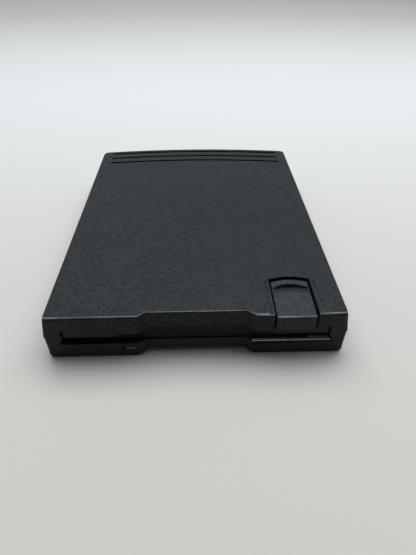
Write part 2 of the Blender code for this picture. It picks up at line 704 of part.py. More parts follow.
def groove_cutters():
    """Round-ended grooves that follow the bow of the rear edge."""
    for index in range(GROOVE_COUNT):
        inset = GROOVE_INSET + index * GROOVE_PITCH
        outline = bowed_strip(
            REAR - inset, GROOVE_HALF_LENGTH, GROOVE_HALF_WIDTH, REAR_BOW_RADIUS - inset, GROOVE_SEGMENTS
        )
        yield prism(f"cut_groove_{index}", outline, HEIGHT - GROOVE_DEPTH, HEIGHT + OVERRUN)


def bowed_end(half_width, rear, bow):
    """Plan points across the bowed rear end of the button, from right to left."""
    radius = (half_width**2 + bow**2) / (2 * bow)
    sweep = math.degrees(math.asin(half_width / radius))
    return arc((BUTTON_CENTRE_X, rear - radius), radius, 90 - sweep, 90 + sweep, BOW_SEGMENTS)


def button_opening():
    half = BUTTON_HALF_WIDTH + BUTTON_SIDE_GAP
    rear = BUTTON_REAR_Y + BUTTON_REAR_GAP
    front = FRONT - OVERRUN
    outline = bowed_end(half, rear, BUTTON_REAR_BOW)
    outline += [(BUTTON_CENTRE_X - half, front), (BUTTON_CENTRE_X + half, front)]
    return prism("cut_button_opening", outline, HOUSING_STRIP_TOP, HEIGHT + OVERRUN)


def slot_raise_cutter():
    """Lifts the slot's upper edge in the middle of the front wall."""
    half = SLOT_RAISE_HALF_WIDTH
    low = TOP_LOW - OVERRUN
    high = TOP_LOW + SLOT_RAISE
    outline = [
        (-half - SLOT_RAISE_RAMP, low),
        (half + SLOT_RAISE_RAMP, low),
        (half + SLOT_RAISE_RAMP, TOP_LOW),
        (half, high),
        (-half, high),
        (-half - SLOT_RAISE_RAMP, TOP_LOW),
    ]
    return prism("cut_slot_raise", outline, FRONT - OVERRUN, RECESS_FACE, "Y")


def door_lug(side):
    """A rib of the top cover that holds one pin of the dust door."""
    near = side * (DOOR_HALF_WIDTH + LUG_GAP)
    far = near + side * LUG_THICKNESS
    low = DOOR_AXIS_Z - LUG_RADIUS
    outline = [
        (TOP_FRONT_INSIDE - BITE, low),
        (DOOR_AXIS_Y + LUG_RADIUS, low),
        (DOOR_AXIS_Y + LUG_RADIUS, TOP_INSIDE + BITE),
        (TOP_FRONT_INSIDE - BITE, TOP_INSIDE + BITE),
    ]
    lug = prism(f"lug_{side}", outline, min(near, far), max(near, far), "X")
    radius = DOOR_PIN_RADIUS + DOOR_PIN_CLEARANCE
    ends = sorted((near - side * OVERRUN, far + side * OVERRUN))
    bore = rod(f"cut_lug_bore_{side}", radius, (DOOR_AXIS_Y, DOOR_AXIS_Z), ends[0], ends[1], "X", SIDES)
    return lug, bore


def snap_hook(side):
    """A hook of the top cover that reaches down inside the lower cover, with a nose for its pocket."""
    outer = WIDTH / 2 - BASE_WALL - HOOK_GAP
    inner = outer - HOOK_THICKNESS
    nose = outer + HOOK_NOSE
    root = WIDTH / 2 - TOP_WALL + BITE
    nose_top = HOOK_LOW_Z + HOOK_NOSE_HEIGHT
    outline = [
        (inner, HOOK_LOW_Z),
        (outer, HOOK_LOW_Z),
        (nose, nose_top),
        (outer, nose_top),
        (outer, TOP_LOW + SEAT_GAP),
        (root, TOP_LOW + SEAT_GAP),
        (root, TOP_INSIDE + BITE),
        (inner, TOP_INSIDE + BITE),
    ]
    outline = [(side * x, z) for x, z in outline]
    return prism(f"hook_{side}", outline, HOOK_Y - HOOK_HALF_LENGTH, HOOK_Y + HOOK_HALF_LENGTH, "Y")


def hook_pocket(side):
    outer = WIDTH / 2 - BASE_WALL
    ends = sorted((side * (outer - OVERRUN), side * (outer + HOOK_NOSE)))
    half = HOOK_HALF_LENGTH + HOOK_GAP
    top = HOOK_LOW_Z + HOOK_NOSE_HEIGHT + SEAT_GAP
    along = (HOOK_Y - half, HOOK_Y + half)
    return block(f"cut_hook_pocket_{side}", ends, along, (HOOK_LOW_Z - SEAT_GAP, top))


def top_cover():
    side_top = HEIGHT - TOP_EDGE_RADIUS
    stations = [(TOP_LOW, 0), (side_top, TOP_DRAFT)]
    for run, rise in rounding(3):
        stations.append((side_top + rise * TOP_EDGE_RADIUS, TOP_DRAFT + run * TOP_EDGE_RADIUS))
    cover = loft("top_cover", case_rings(stations), "top plastic")
    cut(cover, prism("cut_top_inside", plan(TOP_WALL), TOP_LOW - OVERRUN, TOP_INSIDE))
    wall = RECESS_WALL_HALF_WIDTH
    front = TOP_FRONT_INSIDE - BITE
    back_wall = block(
        "recess_back_wall", (-wall, wall), (front, RECESS_WALL_REAR), (RECESS_TOP_EDGE, TOP_INSIDE + BITE)
    )
    fuse(cover, back_wall)
    cut(cover, recess_cutter("cut_top_recess"), slot_raise_cutter(), *groove_cutters(), button_opening())
    for side in (-1, 1):
        inner = side * DOOR_HALF_WIDTH
        slit = sorted((inner, inner + side * HINGE_SLIT_WIDTH))
        depth = (FRONT - OVERRUN, TOP_FRONT_INSIDE + OVERRUN)
        cut(cover, block(f"cut_hinge_slit_{side}", slit, depth, (TOP_LOW - OVERRUN, HINGE_SLIT_TOP)))
        lug, bore = door_lug(side)
        fuse(cover, lug)
        cut(cover, bore)
        fuse(cover, snap_hook(side))
        centre = (side * POST_X, POST_Y)
        fuse(cover, rod(f"top_post_{side}", TOP_POST_RADIUS, centre, TOP_LOW + SEAT_GAP, TOP_INSIDE + BITE))
        pilot = CASE_SCREW_SHANK_RADIUS + DOOR_PIN_CLEARANCE
        cut(cover, rod(f"cut_pilot_{side}", pilot, centre, TOP_LOW - OVERRUN, TOP_INSIDE - SKIN))
        groove = BUTTON_CENTRE_X + side * GUIDE_GROOVE_OFFSET
        across = (groove - GUIDE_GROOVE_WIDTH / 2, groove + GUIDE_GROOVE_WIDTH / 2)
        depth = (FRONT - OVERRUN, GUIDE_GROOVE_REAR_Y)
        height = (HEIGHT - GUIDE_GROOVE_DEPTH, HEIGHT + OVERRUN)
        cut(cover, block(f"cut_guide_groove_{side}", across, depth, height))


def slot_cutter():
    """The lower half of the disk slot: a notch that flares towards the sill, cut through the front wall."""
    top = SLOT_HALF_WIDTH
    foot = top + SLOT_FLARE
    high = BASE_HIGH + OVERRUN
    rear = BASE_FRONT_INSIDE + SILL_RIB_DEPTH + OVERRUN
    corners = [
        (-foot, SILL_HEIGHT, SLOT_CORNER_RADIUS),
        (foot, SILL_HEIGHT, SLOT_CORNER_RADIUS),
        (top, BASE_HIGH, 0),
        (top, high, 0),
        (-top, high, 0),
        (-top, BASE_HIGH, 0),
    ]
    return prism("cut_slot", rounded(corners), FRONT - OVERRUN, rear, "Y")


def scoop_cutter():
    """The scooped underside below the finger recess, a ramp that dies out into the flat base."""

    def ring(y, height):
        low = FOOT_HEIGHT - OVERRUN
        foot = SCOOP_FOOT_HALF_WIDTH + (SCOOP_FOOT_HALF_WIDTH - SCOOP_HALF_WIDTH) * OVERRUN / SCOOP_HEIGHT
        outline = [(-foot, low), (foot, low), (SCOOP_HALF_WIDTH, height), (-SCOOP_HALF_WIDTH, height)]
        return [Vector((x, y, z)) for x, z in outline]

    front = FRONT - OVERRUN
    rear = RECESS_FACE + SCOOP_DEPTH
    slope = SCOOP_HEIGHT / SCOOP_DEPTH
    front_height = FOOT_HEIGHT + slope * (rear - front)
    return loft("cut_scoop", [ring(front, front_height), ring(rear, FOOT_HEIGHT)])


def strip_outline(gap):
    """Plan of the steel guide strip: a narrow run that widens at its outer end. A gap makes its seat."""
    front = BASE_FRONT + STRIP_LIP - gap
    rear = BASE_FRONT_INSIDE + gap
    narrow = BASE_FRONT + STRIP_LIP + STRIP_DEPTH + gap
    start = STRIP_START_X - gap
    end = STRIP_END_X + gap
    wide = STRIP_WIDE_X - gap
    return [(start, front), (end, front), (end, rear), (wide, rear), (wide, narrow), (start, narrow)]


def strip_seat():
    """The pocket in the sill under the strip, open behind the strip's narrow run."""
    outline = strip_outline(STRIP_FLUSH_GAP * 2)
    xs = [x for x, _ in outline]
    ys = [y for _, y in outline]
    floor = SILL_HEIGHT - STRIP_FLUSH_GAP - STRIP_THICKNESS - SEAT_GAP
    return block("cut_strip_seat", (min(xs), max(xs)), (min(ys), max(ys)), (floor, SILL_HEIGHT + OVERRUN))


def slot_strip():
    top = SILL_HEIGHT - STRIP_FLUSH_GAP
    strip = prism("slot_guide_strip", strip_outline(0), top - STRIP_THICKNESS, top, "Z", "steel")
    rear = BASE_FRONT_INSIDE + OVERRUN
    front = BASE_FRONT + STRIP_LIP + STRIP_GROOVE_WIDTH
    for index in range(STRIP_GROOVE_COUNT):
        x = STRIP_WIDE_X + (index + 1) * STRIP_GROOVE_PITCH
        across = (x - STRIP_GROOVE_WIDTH / 2, x + STRIP_GROOVE_WIDTH / 2)
        height = (top - STRIP_GROOVE_DEPTH, top + OVERRUN)
        cut(strip, block(f"cut_strip_groove_{index}", across, (front, rear), height))


def socket_outline(grow):
    """D-shaped outline of the cable socket in X and Z, grown or shrunk on every side."""
    top = SOCKET_HALF_WIDTH + grow
    foot = top - SOCKET_TAPER
    low = SOCKET_BASE_Z - grow
    high = SOCKET_BASE_Z + SOCKET_HEIGHT + grow
    corner = SOCKET_TAPER
    corners = [(-foot, low, corner), (foot, low, corner), (top, high, corner), (-top, high, corner)]
    return [(SOCKET_X + x, z) for x, z in rounded(corners, 3)]


def bottom_cover():
    side_low = FOOT_HEIGHT + BASE_EDGE_RADIUS
    low_inset = REVEAL + BASE_DRAFT
    stations = [(BASE_HIGH, REVEAL), (side_low, low_inset)]
    for run, rise in rounding(4):
        stations.append((side_low - rise * BASE_EDGE_RADIUS, low_inset + run * BASE_EDGE_RADIUS))
    cover = loft("bottom_cover", case_rings(stations), "base plastic")
    cut(cover, prism("cut_base_inside", plan(BASE_WALL), BASE_INSIDE, BASE_HIGH + OVERRUN))
    rib = SLOT_HALF_WIDTH + SLOT_FLARE
    rib_y = (BASE_FRONT_INSIDE - BITE, BASE_FRONT_INSIDE + SILL_RIB_DEPTH)
    fuse(cover, block("sill_rib", (-rib, rib), rib_y, (SILL_HEIGHT - SILL_RIB_THICKNESS, SILL_HEIGHT + BITE)))
    wall = SCOOP_FLOOR_HALF_WIDTH
    fuse(cover, block("recess_low_wall", (-wall, wall), rib_y, (BASE_INSIDE - BITE, SILL_HEIGHT + BITE)))
    floor_y = (BASE_FRONT_INSIDE - BITE, BASE_FRONT_INSIDE + SCOOP_FLOOR_DEPTH)
    floor_z = (BASE_INSIDE - BITE, BASE_INSIDE + SCOOP_FLOOR_RISE)
    fuse(cover, block("scoop_floor", (-wall, wall), floor_y, floor_z))
    cut(cover, slot_cutter(), recess_cutter("cut_base_recess"), scoop_cutter(), strip_seat())
    add_light_holes(cover)
    for side in (-1, 1):
        cut(cover, hook_pocket(side))
        add_screw_post(cover, side)
        for end, foot_y in (("front", FRONT_FOOT_Y), ("rear", REAR_FOOT_Y)):
            centre = (side * FOOT_X, foot_y)
            sink = FOOT_HEIGHT + FOOT_SINK
            radius = FOOT_RADIUS + SEAT_GAP
            cut(cover, rod(f"cut_foot_{side}_{end}", radius, centre, -OVERRUN, sink, "Z", FINE_SIDES))
    for index, place in enumerate(chassis_screw_places()):
        low = BASE_INSIDE - CHASSIS_SCREW_SINK - SEAT_GAP
        radius = CHASSIS_SCREW_SHANK_RADIUS + SEAT_GAP
        cut(cover, rod(f"cut_base_screw_{index}", radius, place, low, BASE_INSIDE + OVERRUN))
    socket = socket_outline(SEAT_GAP)
    cut(cover, prism("cut_socket", socket, SOCKET_FRONT_Y, REAR + OVERRUN, "Y"))


def add_light_holes(cover):
    half = LENS_WIDTH / 2 + LENS_CLEARANCE
    across = (LENS_CENTRE_X - half, LENS_CENTRE_X + half)
    height = (LENS_BASE_Z - LENS_CLEARANCE, LENS_BASE_Z + LENS_HEIGHT + LENS_CLEARANCE)
    depth = (FRONT - OVERRUN, BASE_FRONT_INSIDE + SILL_RIB_DEPTH + OVERRUN)
    cut(cover, block("cut_lens", across, depth, height))
    slit = LENS_CENTRE_X - LIGHT_SLIT_OFFSET
    across = (slit - LIGHT_SLIT_WIDTH / 2, slit + LIGHT_SLIT_WIDTH / 2)
    height = (LENS_BASE_Z, LENS_BASE_Z + LIGHT_SLIT_HEIGHT)
    cut(cover, block("cut_light_slit", across, (FRONT - OVERRUN, BASE_FRONT + LIGHT_SLIT_DEPTH), height))


def add_screw_post(cover, side):
    centre = (side * POST_X, POST_Y)
    head_top = FOOT_HEIGHT + CASE_SCREW_RECESS + CASE_SCREW_HEAD_HEIGHT + SEAT_GAP
    shank = CASE_SCREW_SHANK_RADIUS + SEAT_GAP
    fuse(cover, rod(f"base_post_{side}", POST_RADIUS, centre, BASE_INSIDE - BITE, BASE_HIGH - SEAT_GAP))
    cut(
        cover,
        rod(f"cut_screw_head_{side}", CASE_SCREW_HEAD_RADIUS + SEAT_GAP, centre, -OVERRUN, head_top),
        rod(f"cut_screw_shank_{side}", shank, centre, -OVERRUN, BASE_HIGH + OVERRUN),
    )


def led_lens():
    """The green lens and the light guide that runs back from it to the board."""
    half = LENS_WIDTH / 2
    top = LENS_BASE_Z + LENS_HEIGHT
    front = BASE_FRONT + LENS_RECESS
    rear = BASE_FRONT_INSIDE + SILL_RIB_DEPTH
    across = (LENS_CENTRE_X - half, LENS_CENTRE_X + half)
    lens = block("led_lens", across, (front, rear), (LENS_BASE_Z, top), "lens")
    guide = LIGHT_GUIDE_WIDTH / 2
    across = (LENS_CENTRE_X - guide, LENS_CENTRE_X + guide)
    along = (rear - BITE, CHASSIS_FRONT_Y - SEAT_GAP)
    fuse(lens, block("light_guide", across, along, (LENS_BASE_Z + BITE, top - BITE)))


def feet():
    for side, across in ((-1, "left"), (1, "right")):
        for along, foot_y in (("front", FRONT_FOOT_Y), ("rear", REAR_FOOT_Y)):
            top = FOOT_HEIGHT + FOOT_SINK - SEAT_GAP
            profile = [
                (FOOT_RADIUS - FOOT_EDGE, 0),
                (FOOT_RADIUS, FOOT_EDGE),
                (FOOT_RADIUS, top),
            ]
            turned(f"foot_{along}_{across}", profile, (side * FOOT_X, foot_y), "Z", FINE_SIDES, "rubber")


def case_screws():
    low = FOOT_HEIGHT + CASE_SCREW_RECESS
    head_top = low + CASE_SCREW_HEAD_HEIGHT
    for side, name in ((-1, "left"), (1, "right")):
        profile = [
            (CASE_SCREW_HEAD_RADIUS, low),
            (CASE_SCREW_HEAD_RADIUS, head_top),
            (CASE_SCREW_SHANK_RADIUS, head_top),
            (CASE_SCREW_SHANK_RADIUS, low + CASE_SCREW_LENGTH),
        ]
        turned(f"case_screw_{name}", profile, (side * POST_X, POST_Y), "Z", SIDES, "zinc")


# Moving pieces at the front


def dust_door():
    """A flap that hangs from pins at its ends. Its middle stops short of the pins, under the recess wall."""
    half = DOOR_THICKNESS / 2
    low = SILL_HEIGHT + DOOR_SILL_GAP
    axis = (DOOR_AXIS_Y, DOOR_AXIS_Z)
    outline = [(DOOR_AXIS_Y - half, low), (DOOR_AXIS_Y + half, low)] + arc(axis, half, 0, 180, 8)
    door = prism("dust_door", outline, -DOOR_HALF_WIDTH, DOOR_HALF_WIDTH, "X", "door plastic")
    middle = DOOR_MIDDLE_HALF_WIDTH
    depth = (DOOR_AXIS_Y - OVERRUN, DOOR_AXIS_Y + OVERRUN)
    height = (DOOR_AXIS_Z - DOOR_MIDDLE_DROP, DOOR_AXIS_Z + OVERRUN)
    cut(door, block("cut_door_middle", (-middle, middle), depth, height))
    for side in (-1, 1):
        ends = sorted((side * (DOOR_HALF_WIDTH - BITE), side * (DOOR_HALF_WIDTH + DOOR_PIN_LENGTH)))
        fuse(door, rod(f"door_pin_{side}", DOOR_PIN_RADIUS, axis, ends[0], ends[1], "X"))
    put_origin(door, (0, DOOR_AXIS_Y, DOOR_AXIS_Z))


def button_top(y):
    """Height of the button's top, which slopes down a little towards the front."""
    front = FRONT - BUTTON_FRONT_PROUD
    share = (y - front) / (BUTTON_REAR_Y - front)
    return HEIGHT - BUTTON_FRONT_DROP + share * (BUTTON_FRONT_DROP - BUTTON_REAR_DROP)


def round_over(radius, drop):
    """How far an edge of this radius is drawn in at a drop below its flat."""
    if drop >= radius:
        return 0
    return radius - math.sqrt(radius**2 - (radius - drop) ** 2)


def button_ring(drop, flat_height=None):
    side = BUTTON_HALF_WIDTH - round_over(BUTTON_EDGE_RADIUS, drop)
    rear = BUTTON_REAR_Y - round_over(BUTTON_EDGE_RADIUS, drop)
    front = FRONT - BUTTON_FRONT_PROUD + round_over(BUTTON_FRONT_RADIUS, drop)
    corners = [(x, y, 0) for x, y in bowed_end(side, rear, BUTTON_REAR_BOW)]
    corners.append((BUTTON_CENTRE_X - side, front, BUTTON_EDGE_RADIUS))
    corners.append((BUTTON_CENTRE_X + side, front, BUTTON_EDGE_RADIUS))
    outline = rounded(corners, 2)
    return [Vector((x, y, flat_height or button_top(y) - drop)) for x, y in outline]


def pocket_cutter():
    """The finger pocket: a steep bowed rear wall, and a floor that rises to the top near the front edge."""
    radius = (POCKET_HALF_WIDTH**2 + POCKET_BOW**2) / (2 * POCKET_BOW)
    sweep = math.degrees(math.asin(POCKET_HALF_WIDTH / radius))
    heart = (BUTTON_CENTRE_X, POCKET_REAR_Y + POCKET_BOW - radius)
    outline = arc(heart, radius, 90 - sweep, 90 + sweep, BOW_SEGMENTS)
    front = POCKET_REAR_Y - POCKET_RUN
    outline += [(BUTTON_CENTRE_X + side * POCKET_HALF_WIDTH, front - BITE) for side in (-1, 1)]
    floor = [Vector((x, y, button_top(y) - POCKET_DEPTH * (y - front) / POCKET_RUN)) for x, y in outline]
    return loft("cut_pocket", [floor, [Vector((x, y, HEIGHT + OVERRUN)) for x, y in outline]])


def eject_button():
    """A hollow cap that wraps from the top face onto the front, with two ribs that grip the slide's tab."""
    drops = (BUTTON_FRONT_RADIUS, *(BUTTON_FRONT_RADIUS * share for share in BUTTON_ROUNDING_SHARES), 0)
    rings = [button_ring(BUTTON_FRONT_RADIUS, HOUSING_STRIP_TOP + SEAT_GAP)]
    rings += [button_ring(drop) for drop in drops]
    button = loft("eject_button", rings, "top plastic")
    skirt = FRONT - BUTTON_FRONT_PROUD + BUTTON_SKIRT_THICKNESS
    rear = BUTTON_REAR_Y + OVERRUN
    low = HOUSING_STRIP_TOP - OVERRUN
    hollow = [
        (skirt, low),
        (rear, low),
        (rear, button_top(rear) - BUTTON_TOP_THICKNESS),
        (skirt, button_top(skirt) - BUTTON_TOP_THICKNESS),
    ]
    half = BUTTON_HALF_WIDTH - BUTTON_SIDE_THICKNESS
    cut(button, prism("cut_button_hollow", hollow, BUTTON_CENTRE_X - half, BUTTON_CENTRE_X + half, "X"))
    half = BUTTON_HALF_WIDTH + OVERRUN
    across = (BUTTON_CENTRE_X - half, BUTTON_CENTRE_X + half)
    cut(button, block("cut_button_sides", across, (skirt, rear), (low, HEIGHT - BUTTON_SIDE_HEIGHT)))
    cut(button, pocket_cutter())
    tab_front = SLIDE_FRONT_Y + BITE
    rib = BUTTON_RIB_THICKNESS
    across = (BUTTON_CENTRE_X - BUTTON_TAB_HALF_WIDTH, BUTTON_CENTRE_X + BUTTON_TAB_HALF_WIDTH)
    for name, rib_front in (("front", tab_front - SEAT_GAP - rib), ("rear", tab_front + SHEET + SEAT_GAP)):
        height = (BUTTON_RIB_LOW_Z, button_top(rib_front) - BUTTON_TOP_THICKNESS + BITE)
        fuse(button, block(f"button_rib_{name}", across, (rib_front, rib_front + rib), height))
    put_origin(button, (BUTTON_CENTRE_X, BUTTON_REAR_Y, HEIGHT))


# Sheet-metal pieces of the mechanism


def channel(half_inside, half_outside, foot, ceiling, top):
    """Section of a channel open below, in X and Z."""
    right = [(half_outside, top), (half_outside, foot), (half_inside, foot), (half_inside, ceiling)]
    return right + [(-x, z) for x, z in reversed(right)]


def ramp_slot(name, pin_y):
    """The slanted slot in both slide flanges that raises and lowers a holder pin as the slide moves."""
    slope = HOLDER_DROP / SLIDE_TRAVEL
    rear = (pin_y + SLIDE_TRAVEL, HOLDER_PIN_HEIGHT - HOLDER_DROP)
    front = (pin_y - SLIDE_PRE_TRAVEL, HOLDER_PIN_HEIGHT + SLIDE_PRE_TRAVEL * slope)
    radius = HOLDER_PIN_RADIUS + HOLDER_PIN_CLEARANCE
    tilt = -math.degrees(math.atan(slope))
    outline = arc(rear, radius, tilt - 90, tilt + 90, 6) + arc(front, radius, tilt + 90, tilt + 270, 6)
    return prism(name, outline, -SLIDE_HALF_WIDTH - OVERRUN, SLIDE_HALF_WIDTH + OVERRUN, "X")


def slide_plate():
    """The plate that joins the eject button to the ramps, over the disk holder."""
    section = channel(SLIDE_HALF_INSIDE, SLIDE_HALF_WIDTH, SLIDE_FLANGE_LOW, SLIDE_LOW, SLIDE_TOP)
    plate = prism("slide_plate", section, SLIDE_FRONT_Y, SLIDE_REAR_Y, "Y", "steel")
    through = (SLIDE_LOW - SEAT_GAP, SLIDE_TOP + SEAT_GAP)
    notch = SLIDE_NOTCH_HALF_WIDTH
    along = (SLIDE_NOTCH_FRONT_Y, SLIDE_REAR_Y + OVERRUN)
    cut(plate, block("cut_slide_notch", (-notch, notch), along, through))
    half = SLIDE_WINDOW_HALF_WIDTH
    corner = SLIDE_WINDOW_CORNER
    corners = [(-half, SLIDE_WINDOW_FRONT_Y), (half, SLIDE_WINDOW_FRONT_Y)]
    corners += [(half, SLIDE_WINDOW_REAR_Y), (-half, SLIDE_WINDOW_REAR_Y)]
    cut(plate, prism("cut_slide_window", rounded([(x, y, corner) for x, y in corners]), *through))
    for side in (-1, 1):
        across = (side * SPRING_X - SPRING_WINDOW_HALF_WIDTH, side * SPRING_X + SPRING_WINDOW_HALF_WIDTH)
        along = (SPRING_WINDOW_FRONT_Y, SPRING_WINDOW_REAR_Y)
        cut(plate, block(f"cut_spring_window_{side}", across, along, through))
    cut(plate, ramp_slot("cut_ramp_front", HOLDER_PIN_FRONT_Y), ramp_slot("cut_ramp_rear", HOLDER_PIN_REAR_Y))
    tab_front = SLIDE_FRONT_Y + BITE
    tab_top = button_top(tab_front) - BUTTON_TOP_THICKNESS - BUTTON_TAB_TOP_GAP
    across = (BUTTON_CENTRE_X - BUTTON_TAB_HALF_WIDTH, BUTTON_CENTRE_X + BUTTON_TAB_HALF_WIDTH)
    fuse(plate, block("slide_tab", across, (tab_front, tab_front + SHEET), (SLIDE_LOW + BITE, tab_top)))
    put_origin(plate, (0, SLIDE_FRONT_Y, SLIDE_LOW))


def lever_tip(degrees):
    turn = math.radians(degrees)
    return (LEVER_PIVOT_X + LEVER_LENGTH * math.cos(turn), LEVER_PIVOT_Y + LEVER_LENGTH * math.sin(turn))


def disk_holder():
    """The cage that the disk slides into. Its side pins ride in the ramps of the slide."""
    inside = HOLDER_HALF_INSIDE
    low = DISK_BAY_FLOOR - SHEET
    right = [
        (HOLDER_HALF_WIDTH, HOLDER_TOP),
        (HOLDER_HALF_WIDTH, low),
        (inside - HOLDER_LIP, low),
        (inside - HOLDER_LIP, DISK_BAY_FLOOR),
        (inside, DISK_BAY_FLOOR),
        (inside, HOLDER_CEILING),
    ]
    section = right + [(-x, z) for x, z in reversed(right)]
    holder = prism("disk_holder", section, CHASSIS_FRONT_Y, HOLDER_REAR_Y, "Y", "steel")
    through = (HOLDER_CEILING - SEAT_GAP, HOLDER_TOP + SEAT_GAP)
    window = HEAD_WINDOW_HALF_WIDTH
    along = (HEAD_WINDOW_FRONT_Y, HOLDER_REAR_Y + OVERRUN)
    cut(holder, block("cut_head_window", (-window, window), along, through))
    mouth = HOLDER_MOUTH_HALF_WIDTH
    mouth_rear = CHASSIS_FRONT_Y + HOLDER_MOUTH_RUN
    front = CHASSIS_FRONT_Y - OVERRUN
    outline = [(-mouth - OVERRUN, front), (mouth + OVERRUN, front)]
    outline += [(mouth - HOLDER_MOUTH_RUN, mouth_rear), (HOLDER_MOUTH_RUN - mouth, mouth_rear)]
    cut(holder, prism("cut_holder_mouth", outline, *through))
    pivot = (LEVER_PIVOT_X, LEVER_PIVOT_Y)
    start = LEVER_REST_DEGREES - LEVER_SLOT_MARGIN_DEGREES
    end = LEVER_REST_DEGREES + LEVER_SWING_DEGREES + LEVER_SLOT_MARGIN_DEGREES
    slot = arc(pivot, LEVER_LENGTH + LEVER_SLOT_HALF_WIDTH, start, end, BOW_SEGMENTS)
    slot += arc(pivot, LEVER_LENGTH - LEVER_SLOT_HALF_WIDTH, end, start, BOW_SEGMENTS)
    cut(holder, prism("cut_lever_slot", slot, *through))
    fuse(holder, rod("lever_stud", LEVER_PIVOT_RADIUS, pivot, HOLDER_CEILING + SHEET / 2, LEVER_TOP))
    for side in (-1, 1):
        ends = sorted((side * (HOLDER_HALF_WIDTH - BITE), side * CHASSIS_HALF_WIDTH))
        for end, pin_y in (("front", HOLDER_PIN_FRONT_Y), ("rear", HOLDER_PIN_REAR_Y)):
            centre = (pin_y, HOLDER_PIN_HEIGHT)
            fuse(holder, rod(f"holder_pin_{end}_{side}", HOLDER_PIN_RADIUS, centre, ends[0], ends[1], "X"))
    put_origin(holder, (0, CHASSIS_FRONT_Y, DISK_BAY_FLOOR))


def shutter_lever():
    """The lever on the holder whose pin slides the disk's shutter open as the disk goes in."""
    pivot = (LEVER_PIVOT_X, LEVER_PIVOT_Y)
    tip = lever_tip(LEVER_REST_DEGREES)
    splay = math.degrees(math.acos((LEVER_HUB_RADIUS - LEVER_TIP_RADIUS) / LEVER_LENGTH))
    heading = LEVER_REST_DEGREES
    outline = arc(pivot, LEVER_HUB_RADIUS, heading + splay, heading + 360 - splay, 12)
    outline += arc(tip, LEVER_TIP_RADIUS, heading - splay, heading + splay, 8)
    lever = prism("shutter_lever", outline, LEVER_LOW, LEVER_TOP, "Z", "steel")
    bore = LEVER_PIVOT_RADIUS + LEVER_PIVOT_CLEARANCE
    cut(lever, rod("cut_lever_bore", bore, pivot, LEVER_LOW - OVERRUN, LEVER_TOP + OVERRUN))
    fuse(lever, rod("lever_pin", LEVER_PIN_RADIUS, tip, LEVER_LOW - LEVER_PIN_REACH, LEVER_LOW + SHEET / 2))
    put_origin(lever, (LEVER_PIVOT_X, LEVER_PIVOT_Y, LEVER_LOW))


def motor_board_outline(grow):
    half = MOTOR_BOARD_HALF_WIDTH + grow
    front = MOTOR_BOARD_FRONT_Y - grow
    rear = MOTOR_BOARD_REAR_Y + grow
    corners = [(-half, front), (half, front), (half, rear), (-half, rear)]
    return rounded([(x, y, MOTOR_BOARD_CORNER) for x, y in corners])


def chassis_screw_places():
    for side in (-1, 1):
        for y in (CHASSIS_SCREW_FRONT_Y, CHASSIS_SCREW_REAR_Y):
            yield side * CHASSIS_SCREW_X, y


def rail_tabs():
    """Bent-up tabs of the chassis that hold the guide rod at both ends and the lead screw's tip."""
    half = RAIL_TAB_HALF_WIDTH
    places = [(GUIDE_ROD_X, RAIL_TAB_Y), (LEAD_SCREW_X, RAIL_TAB_Y), (GUIDE_ROD_X, RAIL_TAB_REAR_Y)]
    for index, (x, y) in enumerate(places):
        ends = (y, y + RAIL_TAB_THICKNESS)
        tab = block(f"rail_tab_{index}", (x - half, x + half), ends, (CHASSIS_LOW + BITE, RAIL_TAB_TOP))
        radius = RAIL_RADIUS + RAIL_CLEARANCE
        bore = rod(f"cut_rail_tab_{index}", radius, (x, RAIL_Z), y - SEAT_GAP, ends[1] + SEAT_GAP, "Y")
        yield tab, bore


def chassis_tray():
    """The steel tray that carries the mechanism: a channel open above, cut out round the motor board."""
    top = DRIVE_COVER_LOW - SEAT_GAP
    outside = CHASSIS_HALF_WIDTH
    inside = CHASSIS_HALF_INSIDE
    right = [(outside, CHASSIS_LOW), (outside, top), (inside, top), (inside, CHASSIS_FLOOR)]
    section = right + [(-x, z) for x, z in reversed(right)]
    tray = prism("chassis_tray", section, CHASSIS_FRONT_Y, CHASSIS_REAR_Y, "Y", "steel")
    floor = (CHASSIS_LOW - SEAT_GAP, CHASSIS_FLOOR + SEAT_GAP)
    cut(tray, prism("cut_motor_board", motor_board_outline(SEAT_GAP), *floor))
    half = HOLDER_PIN_RADIUS + HOLDER_PIN_CLEARANCE
    low = HOLDER_PIN_HEIGHT - HOLDER_DROP - half
    for index, pin_y in enumerate((HOLDER_PIN_FRONT_Y, HOLDER_PIN_REAR_Y)):
        across = (-outside - OVERRUN, outside + OVERRUN)
        cut(tray, block(f"cut_pin_slot_{index}", across, (pin_y - half, pin_y + half), (low, top + OVERRUN)))
    for index, place in enumerate(chassis_screw_places()):
        cut(tray, rod(f"cut_chassis_screw_{index}", CHASSIS_SCREW_SHANK_RADIUS + SEAT_GAP, place, *floor))
    for tab, bore in rail_tabs():
        fuse(tray, tab)
        cut(tray, bore)


def chassis_screws():
    low = CHASSIS_FLOOR + SEAT_GAP
    for index, place in enumerate(chassis_screw_places(), 1):
        profile = [
            (CHASSIS_SCREW_SHANK_RADIUS, BASE_INSIDE - CHASSIS_SCREW_SINK),
            (CHASSIS_SCREW_SHANK_RADIUS, low),
            (CHASSIS_SCREW_HEAD_RADIUS, low),
            (CHASSIS_SCREW_HEAD_RADIUS, low + CHASSIS_SCREW_HEAD_HEIGHT),
        ]
        turned(f"chassis_screw_{index}", profile, place, "Z", 10, "zinc")


